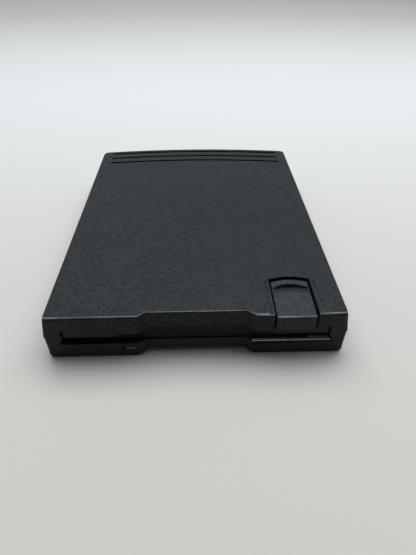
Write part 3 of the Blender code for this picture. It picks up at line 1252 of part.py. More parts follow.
def drive_cover():
    """The steel lid of the mechanism, with two hooks that hold the front ends of the slide springs."""
    halves = (COVER_HALF_INSIDE, COVER_HALF_WIDTH)
    section = channel(*halves, DRIVE_COVER_SKIRT_LOW, DRIVE_COVER_LOW, DRIVE_COVER_TOP)
    lid = prism("drive_cover", section, DRIVE_COVER_FRONT_Y, DRIVE_COVER_REAR_Y, "Y", "steel")
    through = (DRIVE_COVER_LOW - SEAT_GAP, DRIVE_COVER_TOP + SEAT_GAP)
    half = DRIVE_COVER_VENT_HALF_LENGTH
    for index in range(DRIVE_COVER_VENT_COUNT):
        y = DRIVE_COVER_VENT_Y + index * DRIVE_COVER_VENT_PITCH
        along = (y - DRIVE_COVER_VENT_HALF_WIDTH, y + DRIVE_COVER_VENT_HALF_WIDTH)
        cut(lid, block(f"cut_vent_{index}", (-half, half), along, through))
    front = SPRING_WINDOW_FRONT_Y + SLIDE_PRE_TRAVEL + SEAT_GAP
    for side in (-1, 1):
        across = (side * SPRING_X - SPRING_COIL_RADIUS, side * SPRING_X + SPRING_COIL_RADIUS)
        along = (front, front + SHEET)
        fuse(lid, block(f"spring_hook_{side}", across, along, (SLIDE_LOW, DRIVE_COVER_LOW + BITE)))


def slide_springs():
    """Two coil springs that pull the slide forward. Prints the least gap between their turns."""
    start = SPRING_WINDOW_FRONT_Y + SLIDE_PRE_TRAVEL + 2 * SEAT_GAP + SHEET
    end = SPRING_WINDOW_REAR_Y - SEAT_GAP
    height = SLIDE_LOW + SPRING_LIFT
    count = SPRING_TURNS * SPRING_TURN_POINTS
    for side, name in ((-1, "left"), (1, "right")):
        curve = bpy.data.curves.new(f"slide_spring_{name}", "CURVE")
        curve.dimensions = "3D"
        curve.bevel_depth = SPRING_WIRE_RADIUS
        curve.bevel_resolution = 0
        curve.use_fill_caps = True
        spline = curve.splines.new("POLY")
        spline.points.add(count)
        for index, point in enumerate(spline.points):
            turn = 2 * math.pi * index / SPRING_TURN_POINTS
            x = side * SPRING_X + SPRING_COIL_RADIUS * math.cos(turn)
            z = height + SPRING_COIL_RADIUS * math.sin(turn)
            point.co = (x, start + (end - start) * index / count, z, 1)
        curve.materials.append(material("steel"))
        obj = bpy.data.objects.new(curve.name, curve)
        bpy.context.scene.collection.objects.link(obj)
    gap = (end - start) / SPRING_TURNS - 2 * SPRING_WIRE_RADIUS
    print(f"slide springs: {gap / MM:.2f} mm between turns")


# Motor


def motor_board():
    board = prism("motor_board", motor_board_outline(0), CHASSIS_LOW, CHASSIS_FLOOR, "Z", "board")
    bore = SPINDLE_SHAFT_RADIUS + SEAT_GAP
    cut(board, rod("cut_shaft_hole", bore, (0, SPINDLE_Y), CHASSIS_LOW - OVERRUN, CHASSIS_FLOOR + OVERRUN))


def stator_ring():
    """The ring of stator teeth round the rotor, each with a wide shoe facing the magnet."""
    tip = ROTOR_RADIUS + MAGNET_GAP
    shoe = tip + STATOR_SHOE_DEPTH
    yoke = STATOR_RADIUS - STATOR_YOKE
    pitch = 2 * math.pi / STATOR_TEETH
    space = []
    for index in range(STATOR_TEETH):
        middle = index * pitch
        neck_half = pitch * STATOR_TOOTH_SHARE / 2
        shoe_half = pitch * STATOR_SHOE_SHARE / 2
        for radius, turn in (
            (yoke, -neck_half),
            (shoe, -neck_half),
            (shoe, -shoe_half),
            (tip, -shoe_half),
            (tip, shoe_half),
            (shoe, shoe_half),
            (shoe, neck_half),
            (yoke, neck_half),
        ):
            space.append((radius * math.cos(middle + turn), SPINDLE_Y + radius * math.sin(middle + turn)))
    sides = 2 * STATOR_TEETH
    ring = rod("stator_ring", STATOR_RADIUS, (0, SPINDLE_Y), STATOR_LOW, STATOR_TOP, "Z", sides, "copper")
    cut(ring, prism("cut_stator", space, STATOR_LOW - OVERRUN, STATOR_TOP + OVERRUN))


def rotor_hub():
    profile = [
        (SPINDLE_SHAFT_RADIUS, CHASSIS_LOW),
        (SPINDLE_SHAFT_RADIUS, ROTOR_LOW),
        (ROTOR_RADIUS, ROTOR_LOW),
        (ROTOR_RADIUS, ROTOR_RIM_TOP),
        (ROTOR_HUB_RADIUS, ROTOR_RIM_TOP),
        (ROTOR_HUB_RADIUS, ROTOR_HUB_TOP),
        (SPINDLE_RADIUS, ROTOR_HUB_TOP),
        (SPINDLE_RADIUS, SPINDLE_TOP),
    ]
    rotor = turned("rotor_hub", profile, (0, SPINDLE_Y), "Z", FINE_SIDES, "steel")
    pin = (DRIVE_PIN_OFFSET, SPINDLE_Y)
    fuse(rotor, rod("drive_pin", DRIVE_PIN_RADIUS, pin, ROTOR_HUB_TOP - BITE, DRIVE_PIN_TOP, "Z", 10))
    put_origin(rotor, (0, SPINDLE_Y, ROTOR_LOW))


def switches():
    """The write-protect and disk-present switches, each a body and a sprung plunger."""
    low = CHASSIS_FLOOR + SEAT_GAP
    for side, name in ((-1, "protect"), (1, "disk")):
        x = side * SWITCH_X
        across = (x - SWITCH_HALF_WIDTH, x + SWITCH_HALF_WIDTH)
        along = (SWITCH_Y - SWITCH_HALF_DEPTH, SWITCH_Y + SWITCH_HALF_DEPTH)
        centre = (x, SWITCH_Y)
        top = low + SWITCH_HEIGHT
        body = block(f"{name}_switch", across, along, (low, top), "black plastic")
        bore = PLUNGER_RADIUS + PLUNGER_CLEARANCE
        cut(body, rod(f"cut_{name}_switch", bore, centre, low - OVERRUN, top + OVERRUN))
        profile = [(PLUNGER_RADIUS, PLUNGER_LOW), (PLUNGER_RADIUS, PLUNGER_TOP)]
        plunger = turned(f"{name}_plunger", profile, centre, "Z", 12, "white plastic")
        put_origin(plunger, (x, SWITCH_Y, PLUNGER_TOP))


# Heads


def head_block(name, low, top):
    half = HEAD_HALF_SIZE
    return block(name, (-half, half), (HEAD_Y - half, HEAD_Y + half), (low, top), "white plastic")


def head_seat(name, low, top):
    half = HEAD_HALF_SIZE + SEAT_GAP
    return block(name, (-half, half), (HEAD_Y - half, HEAD_Y + half), (low - OVERRUN, top + OVERRUN))


def head_carriage():
    """The carriage: a body on the guide rod and lead screw, the lower arm, and the upper arm's lugs."""
    across = (CARRIAGE_LEFT_X, CARRIAGE_RIGHT_X)
    along = (CARRIAGE_FRONT_Y, CARRIAGE_REAR_Y)
    carriage = block("head_carriage", across, along, (CARRIAGE_LOW, CARRIAGE_TOP), "zinc")
    arm = ARM_HALF_WIDTH
    arm_top = CARRIAGE_LOW + ARM_THICKNESS
    arm_y = (ARM_TIP_Y, CARRIAGE_FRONT_Y + BITE)
    fuse(carriage, block("lower_arm", (-arm, arm), arm_y, (CARRIAGE_LOW, arm_top)))
    cut(carriage, head_seat("cut_lower_head", CARRIAGE_LOW, arm_top))
    for index, x in enumerate((GUIDE_ROD_X, LEAD_SCREW_X)):
        ends = (CARRIAGE_FRONT_Y - OVERRUN, CARRIAGE_REAR_Y + OVERRUN)
        radius = RAIL_RADIUS + RAIL_CLEARANCE
        cut(carriage, rod(f"cut_carriage_bore_{index}", radius, (x, RAIL_Z), *ends, "Y"))
    for side in (-1, 1):
        inner = side * (ARM_HALF_WIDTH + SEAT_GAP)
        across = sorted((inner, inner + side * ARM_LUG_THICKNESS))
        along = (UPPER_ARM_AXIS_Y - ARM_LUG_HALF_LENGTH, UPPER_ARM_AXIS_Y + ARM_LUG_HALF_LENGTH)
        top = UPPER_ARM_AXIS_Z + ARM_LUG_HALF_LENGTH - BITE
        fuse(carriage, block(f"arm_lug_{side}", across, along, (CARRIAGE_TOP - BITE, top)))
    reach = ARM_HALF_WIDTH + ARM_LUG_THICKNESS + OVERRUN
    axis = (UPPER_ARM_AXIS_Y, UPPER_ARM_AXIS_Z)
    cut(carriage, rod("cut_arm_pin", ARM_PIN_RADIUS + HOLDER_PIN_CLEARANCE, axis, -reach, reach, "X"))
    flag_y = (SENSOR_Y - SENSOR_FLAG_HALF_WIDTH, SENSOR_Y + SENSOR_FLAG_HALF_WIDTH)
    flag_z = (RAIL_Z - SENSOR_FLAG_HALF_THICKNESS, RAIL_Z + SENSOR_FLAG_HALF_THICKNESS)
    fuse(carriage, block("sensor_flag", (SENSOR_X, CARRIAGE_LEFT_X + BITE), flag_y, flag_z))
    put_origin(carriage, (0, HEAD_Y, RAIL_Z))
    put_origin(head_block("lower_head", CARRIAGE_LOW, LOWER_HEAD_TOP), (0, HEAD_Y, RAIL_Z))


def upper_arm():
    """The hinged arm that lowers the upper head onto the disk."""
    arm = ARM_HALF_WIDTH
    tip = HEAD_HALF_SIZE + SEAT_GAP + ARM_TIP_RIM
    rear = UPPER_ARM_AXIS_Y + ARM_LUG_HALF_LENGTH
    front = CARRIAGE_FRONT_Y - ARM_TIP_Y
    outline = [(-tip, ARM_TIP_Y), (tip, ARM_TIP_Y), (arm, ARM_TIP_Y + front / 2), (arm, rear)]
    outline += [(-arm, rear), (-arm, ARM_TIP_Y + front / 2)]
    top = UPPER_ARM_LOW + ARM_THICKNESS
    piece = prism("upper_arm", outline, UPPER_ARM_LOW, top, "Z", "steel")
    cut(piece, head_seat("cut_upper_head", UPPER_ARM_LOW, top))
    reach = ARM_HALF_WIDTH + SEAT_GAP + ARM_LUG_THICKNESS
    fuse(piece, rod("arm_pin", ARM_PIN_RADIUS, (UPPER_ARM_AXIS_Y, UPPER_ARM_AXIS_Z), -reach, reach, "X"))
    axis = (0, UPPER_ARM_AXIS_Y, UPPER_ARM_AXIS_Z)
    put_origin(piece, axis)
    put_origin(head_block("upper_head", UPPER_HEAD_LOW, top), axis)


def guide_rod():
    start = RAIL_TAB_Y - SEAT_GAP
    rod("guide_rod", RAIL_RADIUS, (GUIDE_ROD_X, RAIL_Z), start, GUIDE_ROD_REAR_Y, "Y", 12, "steel")


def lead_screw():
    """The stepper's screw, with a rounded thread that winds along it."""
    start = RAIL_TAB_Y - SEAT_GAP
    end = STEPPER_FRONT_Y + STEPPER_BEARING_DEPTH - SEAT_GAP
    steps = round((end - start) / LEAD_SCREW_LEAD * LEAD_SCREW_STEPS)
    rings = []
    for step in range(steps + 1):
        along = start + (end - start) * step / steps
        ring = []
        for side in range(LEAD_SCREW_SIDES):
            turn = 2 * math.pi * side / LEAD_SCREW_SIDES
            wave = 0.5 - 0.5 * math.cos(2 * math.pi * (along - start) / LEAD_SCREW_LEAD + turn)
            radius = RAIL_RADIUS - LEAD_SCREW_THREAD_DEPTH * wave
            x = LEAD_SCREW_X + radius * math.cos(turn)
            ring.append(Vector((x, along, RAIL_Z + radius * math.sin(turn))))
        rings.append(ring)
    screw = loft("lead_screw", rings, "steel")
    put_origin(screw, (LEAD_SCREW_X, start, RAIL_Z))


def stepper_motor():
    profile = [
        (STEPPER_RADIUS - STEPPER_EDGE, STEPPER_FRONT_Y),
        (STEPPER_RADIUS, STEPPER_FRONT_Y + STEPPER_EDGE),
        (STEPPER_RADIUS, STEPPER_REAR_Y - STEPPER_EDGE),
        (STEPPER_RADIUS - STEPPER_EDGE, STEPPER_REAR_Y),
    ]
    centre = (LEAD_SCREW_X, RAIL_Z)
    can = turned("stepper_motor", profile, centre, "Y", FINE_SIDES, "zinc")
    end = STEPPER_FRONT_Y + STEPPER_BEARING_DEPTH
    radius = RAIL_RADIUS + RAIL_CLEARANCE
    cut(can, rod("cut_stepper_bearing", radius, centre, STEPPER_FRONT_Y - OVERRUN, end, "Y"))


# Boards, sensor, ribbon and socket


def control_board():
    """The board behind the holder, with the header that takes the head ribbon."""
    outline = [
        (CONTROL_BOARD_LEFT_X, CONTROL_BOARD_FRONT_Y),
        (CONTROL_BOARD_RIGHT_X, CONTROL_BOARD_FRONT_Y),
        (CONTROL_BOARD_RIGHT_X, CONTROL_BOARD_WING_Y),
        (CONTROL_BOARD_WING_X, CONTROL_BOARD_WING_Y),
        (CONTROL_BOARD_WING_X, CONTROL_BOARD_REAR_Y),
        (CONTROL_BOARD_LEFT_X, CONTROL_BOARD_REAR_Y),
    ]
    top = BOARD_LOW + BOARD_THICKNESS
    board = prism("control_board", outline, BOARD_LOW, top, "Z", "board")
    half = RIBBON_HALF_WIDTH + SEAT_GAP
    ribbon_low = RIBBON_TOP_Z - 2 * RIBBON_BEND_RADIUS - RIBBON_THICKNESS / 2
    along = (RIBBON_END_Y, RIBBON_END_Y + BOARD_HEADER_LENGTH)
    across = (RIBBON_X - half, RIBBON_X + half)
    fuse(board, block("ribbon_header", across, along, (top - BITE, ribbon_low - SEAT_GAP)))
    chip = CHIP_HALF_SIZE
    low = top + SEAT_GAP
    height = (low, low + CHIP_THICKNESS)
    across = (CHIP_X - chip, CHIP_X + chip)
    block("controller_chip", across, (CHIP_Y - chip, CHIP_Y + chip), height, "black plastic")


def track_sensor():
    """A forked light sensor. The carriage's flag passes through its slot at the outermost track."""
    low = BOARD_LOW + BOARD_THICKNESS + SEAT_GAP
    across = (SENSOR_X - SENSOR_HALF_WIDTH, SENSOR_X + SENSOR_HALF_WIDTH)
    along = (SENSOR_Y - SENSOR_HALF_DEPTH, SENSOR_Y + SENSOR_HALF_DEPTH)
    sensor = block("track_sensor", across, along, (low, SENSOR_TOP), "black plastic")
    half = SENSOR_FLAG_HALF_THICKNESS + LAYER_GAP
    slot = (SENSOR_X - LAYER_GAP, SENSOR_X + SENSOR_HALF_WIDTH + OVERRUN)
    depth = (SENSOR_Y - SENSOR_HALF_DEPTH - OVERRUN, SENSOR_Y + SENSOR_HALF_DEPTH + OVERRUN)
    cut(sensor, block("cut_sensor_slot", slot, depth, (RAIL_Z - half, RAIL_Z + half)))


def head_ribbon():
    """The flat ribbon from the carriage, which rolls back on itself down to the board's header."""
    half = RIBBON_THICKNESS / 2
    start = CARRIAGE_REAR_Y + SEAT_GAP
    heart = (RIBBON_BEND_Y, RIBBON_TOP_Z - RIBBON_BEND_RADIUS)
    outer = arc(heart, RIBBON_BEND_RADIUS + half, 90, -90, 10)
    inner = arc(heart, RIBBON_BEND_RADIUS - half, -90, 90, 10)
    outline = [(start, outer[0][1]), *outer, (RIBBON_END_Y, outer[-1][1])]
    outline += [(RIBBON_END_Y, inner[0][1]), *inner, (start, inner[-1][1])]
    prism("head_ribbon", outline, RIBBON_X - RIBBON_HALF_WIDTH, RIBBON_X + RIBBON_HALF_WIDTH, "X", "ribbon")


def cable_socket():
    """The socket for the cable: a D-shaped steel shell in the rear wall, and the insert that it holds."""
    across = (INTERFACE_LEFT_X, INTERFACE_RIGHT_X)
    along = (INTERFACE_FRONT_Y, INTERFACE_REAR_Y)
    block("interface_board", across, along, (BOARD_LOW, BOARD_LOW + BOARD_THICKNESS), "board")
    rear = REAR + SOCKET_PROUD
    shell = prism("socket_shell", socket_outline(0), SOCKET_FRONT_Y, rear, "Y", "steel")
    bore = prism("cut_shell", socket_outline(-SOCKET_WALL), SOCKET_FRONT_Y - OVERRUN, rear + OVERRUN, "Y")
    cut(shell, bore)
    base_rear = SOCKET_FRONT_Y + INSERT_BASE_DEPTH
    outline = socket_outline(-SOCKET_WALL - SEAT_GAP)
    insert = prism("socket_insert", outline, SOCKET_FRONT_Y, base_rear, "Y", "black plastic")
    across = (SOCKET_X - INSERT_HALF_WIDTH, SOCKET_X + INSERT_HALF_WIDTH)
    middle = SOCKET_BASE_Z + SOCKET_HEIGHT / 2
    height = (middle - INSERT_HEIGHT / 2, middle + INSERT_HEIGHT / 2)
    fuse(insert, block("insert_tongue", across, (base_rear - BITE, rear - INSERT_SETBACK), height))


def main():
    clear_scene()
    top_cover()
    bottom_cover()
    slot_strip()
    led_lens()
    feet()
    case_screws()
    dust_door()
    eject_button()
    slide_plate()
    disk_holder()
    shutter_lever()
    chassis_tray()
    chassis_screws()
    drive_cover()
    slide_springs()
    motor_board()
    stator_ring()
    rotor_hub()
    switches()
    head_carriage()
    upper_arm()
    guide_rod()
    lead_screw()
    stepper_motor()
    control_board()
    track_sensor()
    head_ribbon()
    cable_socket()


main()
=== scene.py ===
"""Portable external floppy disk drive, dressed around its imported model.

Lengths are in metres in the frame of the model: +Z is up, the disk slot faces -Y, and the origin is
on the surface that the feet stand on. Colours are linear. Each sub-assembly is a class that holds its
sizes and builds the pieces that stand for CAD nodes. The nodes that stay are dressed at the end.
"""

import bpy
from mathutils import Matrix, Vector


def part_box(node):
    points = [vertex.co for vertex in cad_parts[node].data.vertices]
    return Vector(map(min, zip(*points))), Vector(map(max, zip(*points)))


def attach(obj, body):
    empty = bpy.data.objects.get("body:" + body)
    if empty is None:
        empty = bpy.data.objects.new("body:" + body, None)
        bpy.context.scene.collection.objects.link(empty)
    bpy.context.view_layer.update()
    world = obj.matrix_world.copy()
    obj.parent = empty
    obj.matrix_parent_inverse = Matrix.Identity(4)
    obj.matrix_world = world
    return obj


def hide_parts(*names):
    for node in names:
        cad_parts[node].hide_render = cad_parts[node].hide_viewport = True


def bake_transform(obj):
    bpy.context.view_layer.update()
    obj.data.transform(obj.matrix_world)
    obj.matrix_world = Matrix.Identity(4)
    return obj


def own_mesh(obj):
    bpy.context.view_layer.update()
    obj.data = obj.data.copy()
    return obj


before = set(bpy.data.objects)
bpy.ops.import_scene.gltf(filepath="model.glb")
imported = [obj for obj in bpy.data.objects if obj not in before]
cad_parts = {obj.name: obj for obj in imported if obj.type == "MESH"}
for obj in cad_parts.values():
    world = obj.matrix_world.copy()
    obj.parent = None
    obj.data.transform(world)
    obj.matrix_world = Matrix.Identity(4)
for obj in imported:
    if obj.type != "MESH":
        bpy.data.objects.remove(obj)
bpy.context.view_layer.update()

import logging
import math
from dataclasses import dataclass
from enum import Enum
from functools import cache
from typing import Iterable, Sequence

import bmesh
import bpy
from mathutils import Matrix, Vector

LOG = logging.getLogger("floppy_drive")
MM = 0.001
WELD = 1e-6
Pair = tuple[float, float]
Point = Colour = tuple[float, float, float]
Inputs = dict[str | int, object]
Node, Tree, Object = bpy.types.Node, bpy.types.NodeTree, bpy.types.Object
Socket, Sockets = bpy.types.NodeSocket, bpy.types.bpy_prop_collection
BMesh, BMVert, BMEdge = bmesh.types.BMesh, bmesh.types.BMVert, bmesh.types.BMEdge


class Axis(Enum):
    """The direction that a pattern or a turned piece runs along."""

    X = 0
    Y = 1
    Z = 2


class Body(Enum):
    """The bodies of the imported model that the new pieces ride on."""

    CASE = "case"
    SLIDE = "eject_slide"


# Nodes


class Graph:
    """Short calls for the nodes that the finishes and their shared groups are made of."""

    def __init__(self, tree: Tree) -> None:
        """Keeps the tree that is being filled."""
        self.tree = tree

    def fill(self, node: Node, inputs: Inputs) -> None:
        """Links an output socket to each named or numbered input of a node, or sets its value."""
        for key, value in inputs.items():
            if isinstance(value, Socket):
                self.tree.links.new(value, node.inputs[key])
            else:
                node.inputs[key].default_value = value

    def add(self, kind: str, inputs: Inputs | None = None, **settings: object) -> Node:
        """Adds one node.

        Args:
            kind: Blender's name of the node type.
            inputs: A value or an output socket for each named or numbered input.
            settings: Properties of the node.

        Returns:
            The node.
        """
        node = self.tree.nodes.new(kind)
        for name, value in settings.items():
            setattr(node, name, value)
        self.fill(node, inputs or {})
        return node

    def math(self, operation: str, a: Socket | float, b: Socket | float = 0.0) -> Socket:
        """Returns the result of one operation on two numbers."""
        return self.add("ShaderNodeMath", {0: a, 1: b}, operation=operation).outputs[0]

    def times(self, a: Socket | float, b: Socket | float) -> Socket:
        """Returns a times b."""
        return self.math("MULTIPLY", a, b)

    def less(self, a: Socket | float, b: Socket | float) -> Socket:
        """Returns a less b."""
        return self.math("SUBTRACT", a, b)

    def weigh(self, a: Socket, b: Socket, share: float) -> Socket:
        """Returns the mean of two numbers, with this share of the first."""
        return self.math("ADD", self.times(a, share), self.times(b, 1 - share))

    def mix(self, share: Socket | float, a: Socket | Colour, b: Socket | Colour) -> Socket:
        """Returns colour a turning into colour b as share goes from 0 to 1."""
        paint = [c if isinstance(c, Socket) else (*c, 1.0) for c in (a, b)]
        return self.add("ShaderNodeMix", {0: share, 6: paint[0], 7: paint[1]}, data_type="RGBA",
                        clamp_factor=True).outputs[2]

    def span(self, value: Socket, low: float, high: float, to_low: float = 0.0,
             to_high: float = 1.0) -> Socket:
        """Returns value carried smoothly from the span low..high to the span to_low..to_high."""
        return self.add("ShaderNodeMapRange", {0: value, 1: low, 2: high, 3: to_low, 4: to_high},
                        interpolation_type="SMOOTHSTEP").outputs[0]

    def noise(self, place: Socket, scale: Socket | float, detail: float = 2.0, rough: float = 0.5) -> Socket:
        """Returns a cloud of values about 0.5 with scale lumps to the metre."""
        return self.add("ShaderNodeTexNoise", {"Vector": place, "Scale": scale, "Detail": detail,
                                               "Roughness": rough}).outputs[0]

    def cells(self, place: Socket, scale: Socket | float, scatter: float = 1.0,
              **settings: object) -> Sockets:
        """Returns the outputs of a Voronoi pattern with scale cells to the metre."""
        return self.add("ShaderNodeTexVoronoi", {"Vector": place, "Scale": scale, "Randomness": scatter},
                        **settings).outputs

    def lines(self, along: Socket, pitch: float, core: float, rim: float) -> Socket:
        """Returns 1 on lines, pitch to the metre, that fade from core to rim of the way between two."""
        step = self.math("FRACT", self.times(along, pitch))
        away = self.math("ABSOLUTE", self.less(step, 0.5))
        return self.span(away, core, rim, *FALLING)

    def place(self, turn: Point | None = None) -> Socket:
        """Returns Object coordinates, turned by three angles if they are given."""
        spot = self.add("ShaderNodeTexCoord").outputs["Object"]
        if turn is None:
            return spot
        return self.add("ShaderNodeMapping", {"Vector": spot, "Rotation": turn}).outputs[0]

    def normal(self) -> Socket:
        """Returns the true normal."""
        return self.add("ShaderNodeNewGeometry").outputs["Normal"]

    def part(self, place: Socket, axis: Axis) -> Socket:
        """Returns one coordinate of a place."""
        return self.add("ShaderNodeSeparateXYZ", {0: place}).outputs[axis.value]

    def bump(self, depth: float, height: Socket, normal: Socket | None = None,
             strength: float = 1.0) -> Socket:
        """Returns the normal of a relief of this depth, laid over another normal if one is given."""
        inputs = {"Strength": strength, "Distance": depth, "Height": height}
        if normal is not None:
            inputs["Normal"] = normal
        return self.add("ShaderNodeBump", inputs).outputs[0]

    def group(self, tree: Tree, **inputs: object) -> Sockets:
        """Adds a shared effect and returns its outputs."""
        return self.add("ShaderNodeGroup", inputs, node_tree=tree).outputs


def open_group(name: str, inputs: dict[str, float],
               outputs: Sequence[str]) -> tuple[Graph, Sockets, Node]:
    """Opens a node group for an effect that several finishes share.

    Args:
        name: The group's name.
        inputs: The default of each number that it takes besides the place.
        outputs: The name of each output. Normal is a vector, and the others are numbers.

    Returns:
        The graph, the sockets that it is given, and its output node.
    """
    tree = bpy.data.node_groups.new(name, "ShaderNodeTree")
    tree.interface.new_socket(name="Place", in_out="INPUT", socket_type="NodeSocketVector")
    for label, default in inputs.items():
        socket = tree.interface.new_socket(name=label, in_out="INPUT", socket_type="NodeSocketFloat")
        socket.default_value = default
    for label in outputs:
        kind = "NodeSocketVector" if label == "Normal" else "NodeSocketFloat"
        tree.interface.new_socket(name=label, in_out="OUTPUT", socket_type=kind)
    graph = Graph(tree)
    return graph, graph.add("NodeGroupInput").outputs, graph.add("NodeGroupOutput")


# Scales to the metre and shares of the shared effects

COARSE_SCALE, PIT_SCALE, PIT_DEPTH = 0.42, 0.8, 0.25
SMEARS, STREAKS = 22.0, 95.0
BLOTCHES, LINE_STRETCH = 160.0, 0.03
SPECK_GAIN, SPECK_LEAST = 0.17, 0.085

# Spans over which a mask fades in. Nearly all of a noise lies within the first.

NOISE_SPAN: Pair = (0.3, 0.7)
FALLING: Pair = (1.0, 0.0)
FLECK_SPAN, BLOTCH_SPAN = (0.38, 0.66), (0.35, 0.68)
EDGE_SPAN, BREAK_SPAN, BREAK_LEVELS = (0.004, 0.16), (0.3, 0.62), (0.35, 1.0)
# The next two lines place the painted highlight on the front roundings: the slopes that carry it, the facing
# towards the front, and the strip along the front of the case.
SLOPE_FROM, SLOPE_TO = (0.6, 0.85), (0.96, 0.997)
FRONT_FACING, FRONT_STRIP = (-0.3, -0.1), (-60 * MM, -55 * MM)
SPECK_SPAN, UPWARDS = (0.0, 0.03), (0.2, 0.9)
SMEAR_SPAN, STREAK_SPAN = (0.42, 0.7), (0.35, 0.7)


@cache
def grain_group() -> Tree:
    """Returns the fine spark-eroded grain of a mould, as a height with two masks."""
    graph, given, out = open_group("Moulded grain", {"Grains": 2500.0, "Clouds": 60.0},
                                   ("Height", "Fleck", "Cloud"))
    place, grains = given["Place"], given["Grains"]
    fine = graph.noise(place, grains, detail=3.0, rough=0.62)
    coarse = graph.noise(place, graph.times(grains, COARSE_SCALE))
    pits = graph.cells(place, graph.times(grains, PIT_SCALE), feature="SMOOTH_F1")["Distance"]
    lumps = graph.weigh(fine, coarse, 0.5)
    cloud = graph.noise(place, given["Clouds"], detail=3.0, rough=0.55)
    graph.fill(out, {"Height": graph.less(lumps, graph.times(pits, PIT_DEPTH)),
                     "Fleck": graph.span(lumps, *FLECK_SPAN), "Cloud": graph.span(cloud, *NOISE_SPAN)})
    return graph.tree


@cache
def edge_group() -> Tree:
    """Returns softened edges: a rounded normal, and a mask of worn edges and painted highlight.

    A painted highlight is added on the upper slopes of the broad roundings that face the front, along
    the front strip of the case, by the share given for it. They are too gentle to count as an edge.
    """
    graph, given, out = open_group(
        "Soft edge with wear and painted highlight", {"Radius": 0.3 * MM, "Rim": 0.0, "Wear": 1.0, "Breaks": 180.0},
        ("Normal", "Edge"))
    soft = graph.add("ShaderNodeBevel", {"Radius": given["Radius"]}, samples=6).outputs[0]
    sharp = graph.normal()
    close = graph.add("ShaderNodeVectorMath", {0: soft, 1: sharp}, operation="DOT_PRODUCT").outputs[1]
    turned_away = graph.span(graph.less(1.0, close), *EDGE_SPAN)
    broken = graph.span(graph.noise(given["Place"], given["Breaks"], detail=4.0, rough=0.6),
                        *BREAK_SPAN, *BREAK_LEVELS)
    # Painted highlight: paler colour on the upper slopes of front-facing roundings near the front of the
    # case.
    up = graph.part(sharp, Axis.Z)
    slope = graph.less(graph.span(up, *SLOPE_FROM), graph.span(up, *SLOPE_TO))
    front = graph.span(graph.part(sharp, Axis.Y), *FRONT_FACING, *FALLING)
    highlight_strip = graph.span(graph.part(given["Place"], Axis.Y), *FRONT_STRIP, *FALLING)
    rim = graph.times(graph.times(slope, given["Rim"]), graph.times(front, highlight_strip))
    both = graph.math("MAXIMUM", graph.times(turned_away, given["Wear"]), rim)
    graph.fill(out, {"Normal": soft, "Edge": graph.times(both, broken)})
    return graph.tree


@cache
def dust_group() -> Tree:
    """Returns handling marks: dust specks that lie on faces turned upwards, and faint smears."""
    graph, given, out = open_group("Dust and smears", {"Specks": 260.0}, ("Speck", "Smear"))
    place = given["Place"]
    spots = graph.cells(place, given["Specks"])
    reach = graph.less(graph.times(graph.part(spots["Color"], Axis.X), SPECK_GAIN), SPECK_LEAST)
    speck = graph.span(graph.less(reach, spots["Distance"]), *SPECK_SPAN)
    up = graph.part(graph.normal(), Axis.Z)
    wide = graph.noise(place, SMEARS, detail=3.0, rough=0.55)
    streak = graph.noise(place, STREAKS, detail=4.0, rough=0.7)
    graph.fill(out, {"Speck": graph.times(speck, graph.span(up, *UPWARDS)),
                     "Smear": graph.times(graph.span(wide, *SMEAR_SPAN),
                                          graph.span(streak, *STREAK_SPAN))})
    return graph.tree


@cache
def sheet_group() -> Tree:
    """Returns the long fine lines of rolled or brushed sheet, with blotches from handling."""
    graph, given, out = open_group("Rolled sheet", {"Lines": 1200.0}, ("Height", "Streak", "Blotch"))
    drawn = graph.add("ShaderNodeMapping", {"Vector": given["Place"], "Scale": (1.0, LINE_STRETCH, 1.0)})
    line = graph.noise(drawn.outputs[0], given["Lines"], detail=3.0, rough=0.7)
    blotch = graph.noise(given["Place"], BLOTCHES, detail=4.0, rough=0.6)
    graph.fill(out, {"Height": line, "Streak": graph.span(line, *NOISE_SPAN),
                     "Blotch": graph.span(blotch, *BLOTCH_SPAN)})
    return graph.tree


# Finishes


@dataclass(frozen=True)
class Finish:
    """What every finish has: its name, and the record's slot that it stands for."""

    name: str
    slot: str

    def shade(self, graph: Graph, shader: Node) -> None:
        """Fills the material's nodes; each finish has its own."""
        raise NotImplementedError

    @cache
    def material(self) -> bpy.types.Material:
        """Returns the material, made the first time that it is asked for."""
        made = bpy.data.materials.new(f"finish_{self.name}")
        made.use_nodes = True
        made.node_tree.nodes.clear()
        graph = Graph(made.node_tree)
        shader = graph.add("ShaderNodeBsdfPrincipled")
        graph.add("ShaderNodeOutputMaterial", {"Surface": shader.outputs[0]})
        self.shade(graph, shader)
        return made

    def dress(self, obj: Object) -> None:
        """Puts the material into every slot of an object."""
        if not obj.material_slots:
            obj.data.materials.append(None)
        for place in obj.material_slots:
            place.material = self.material()


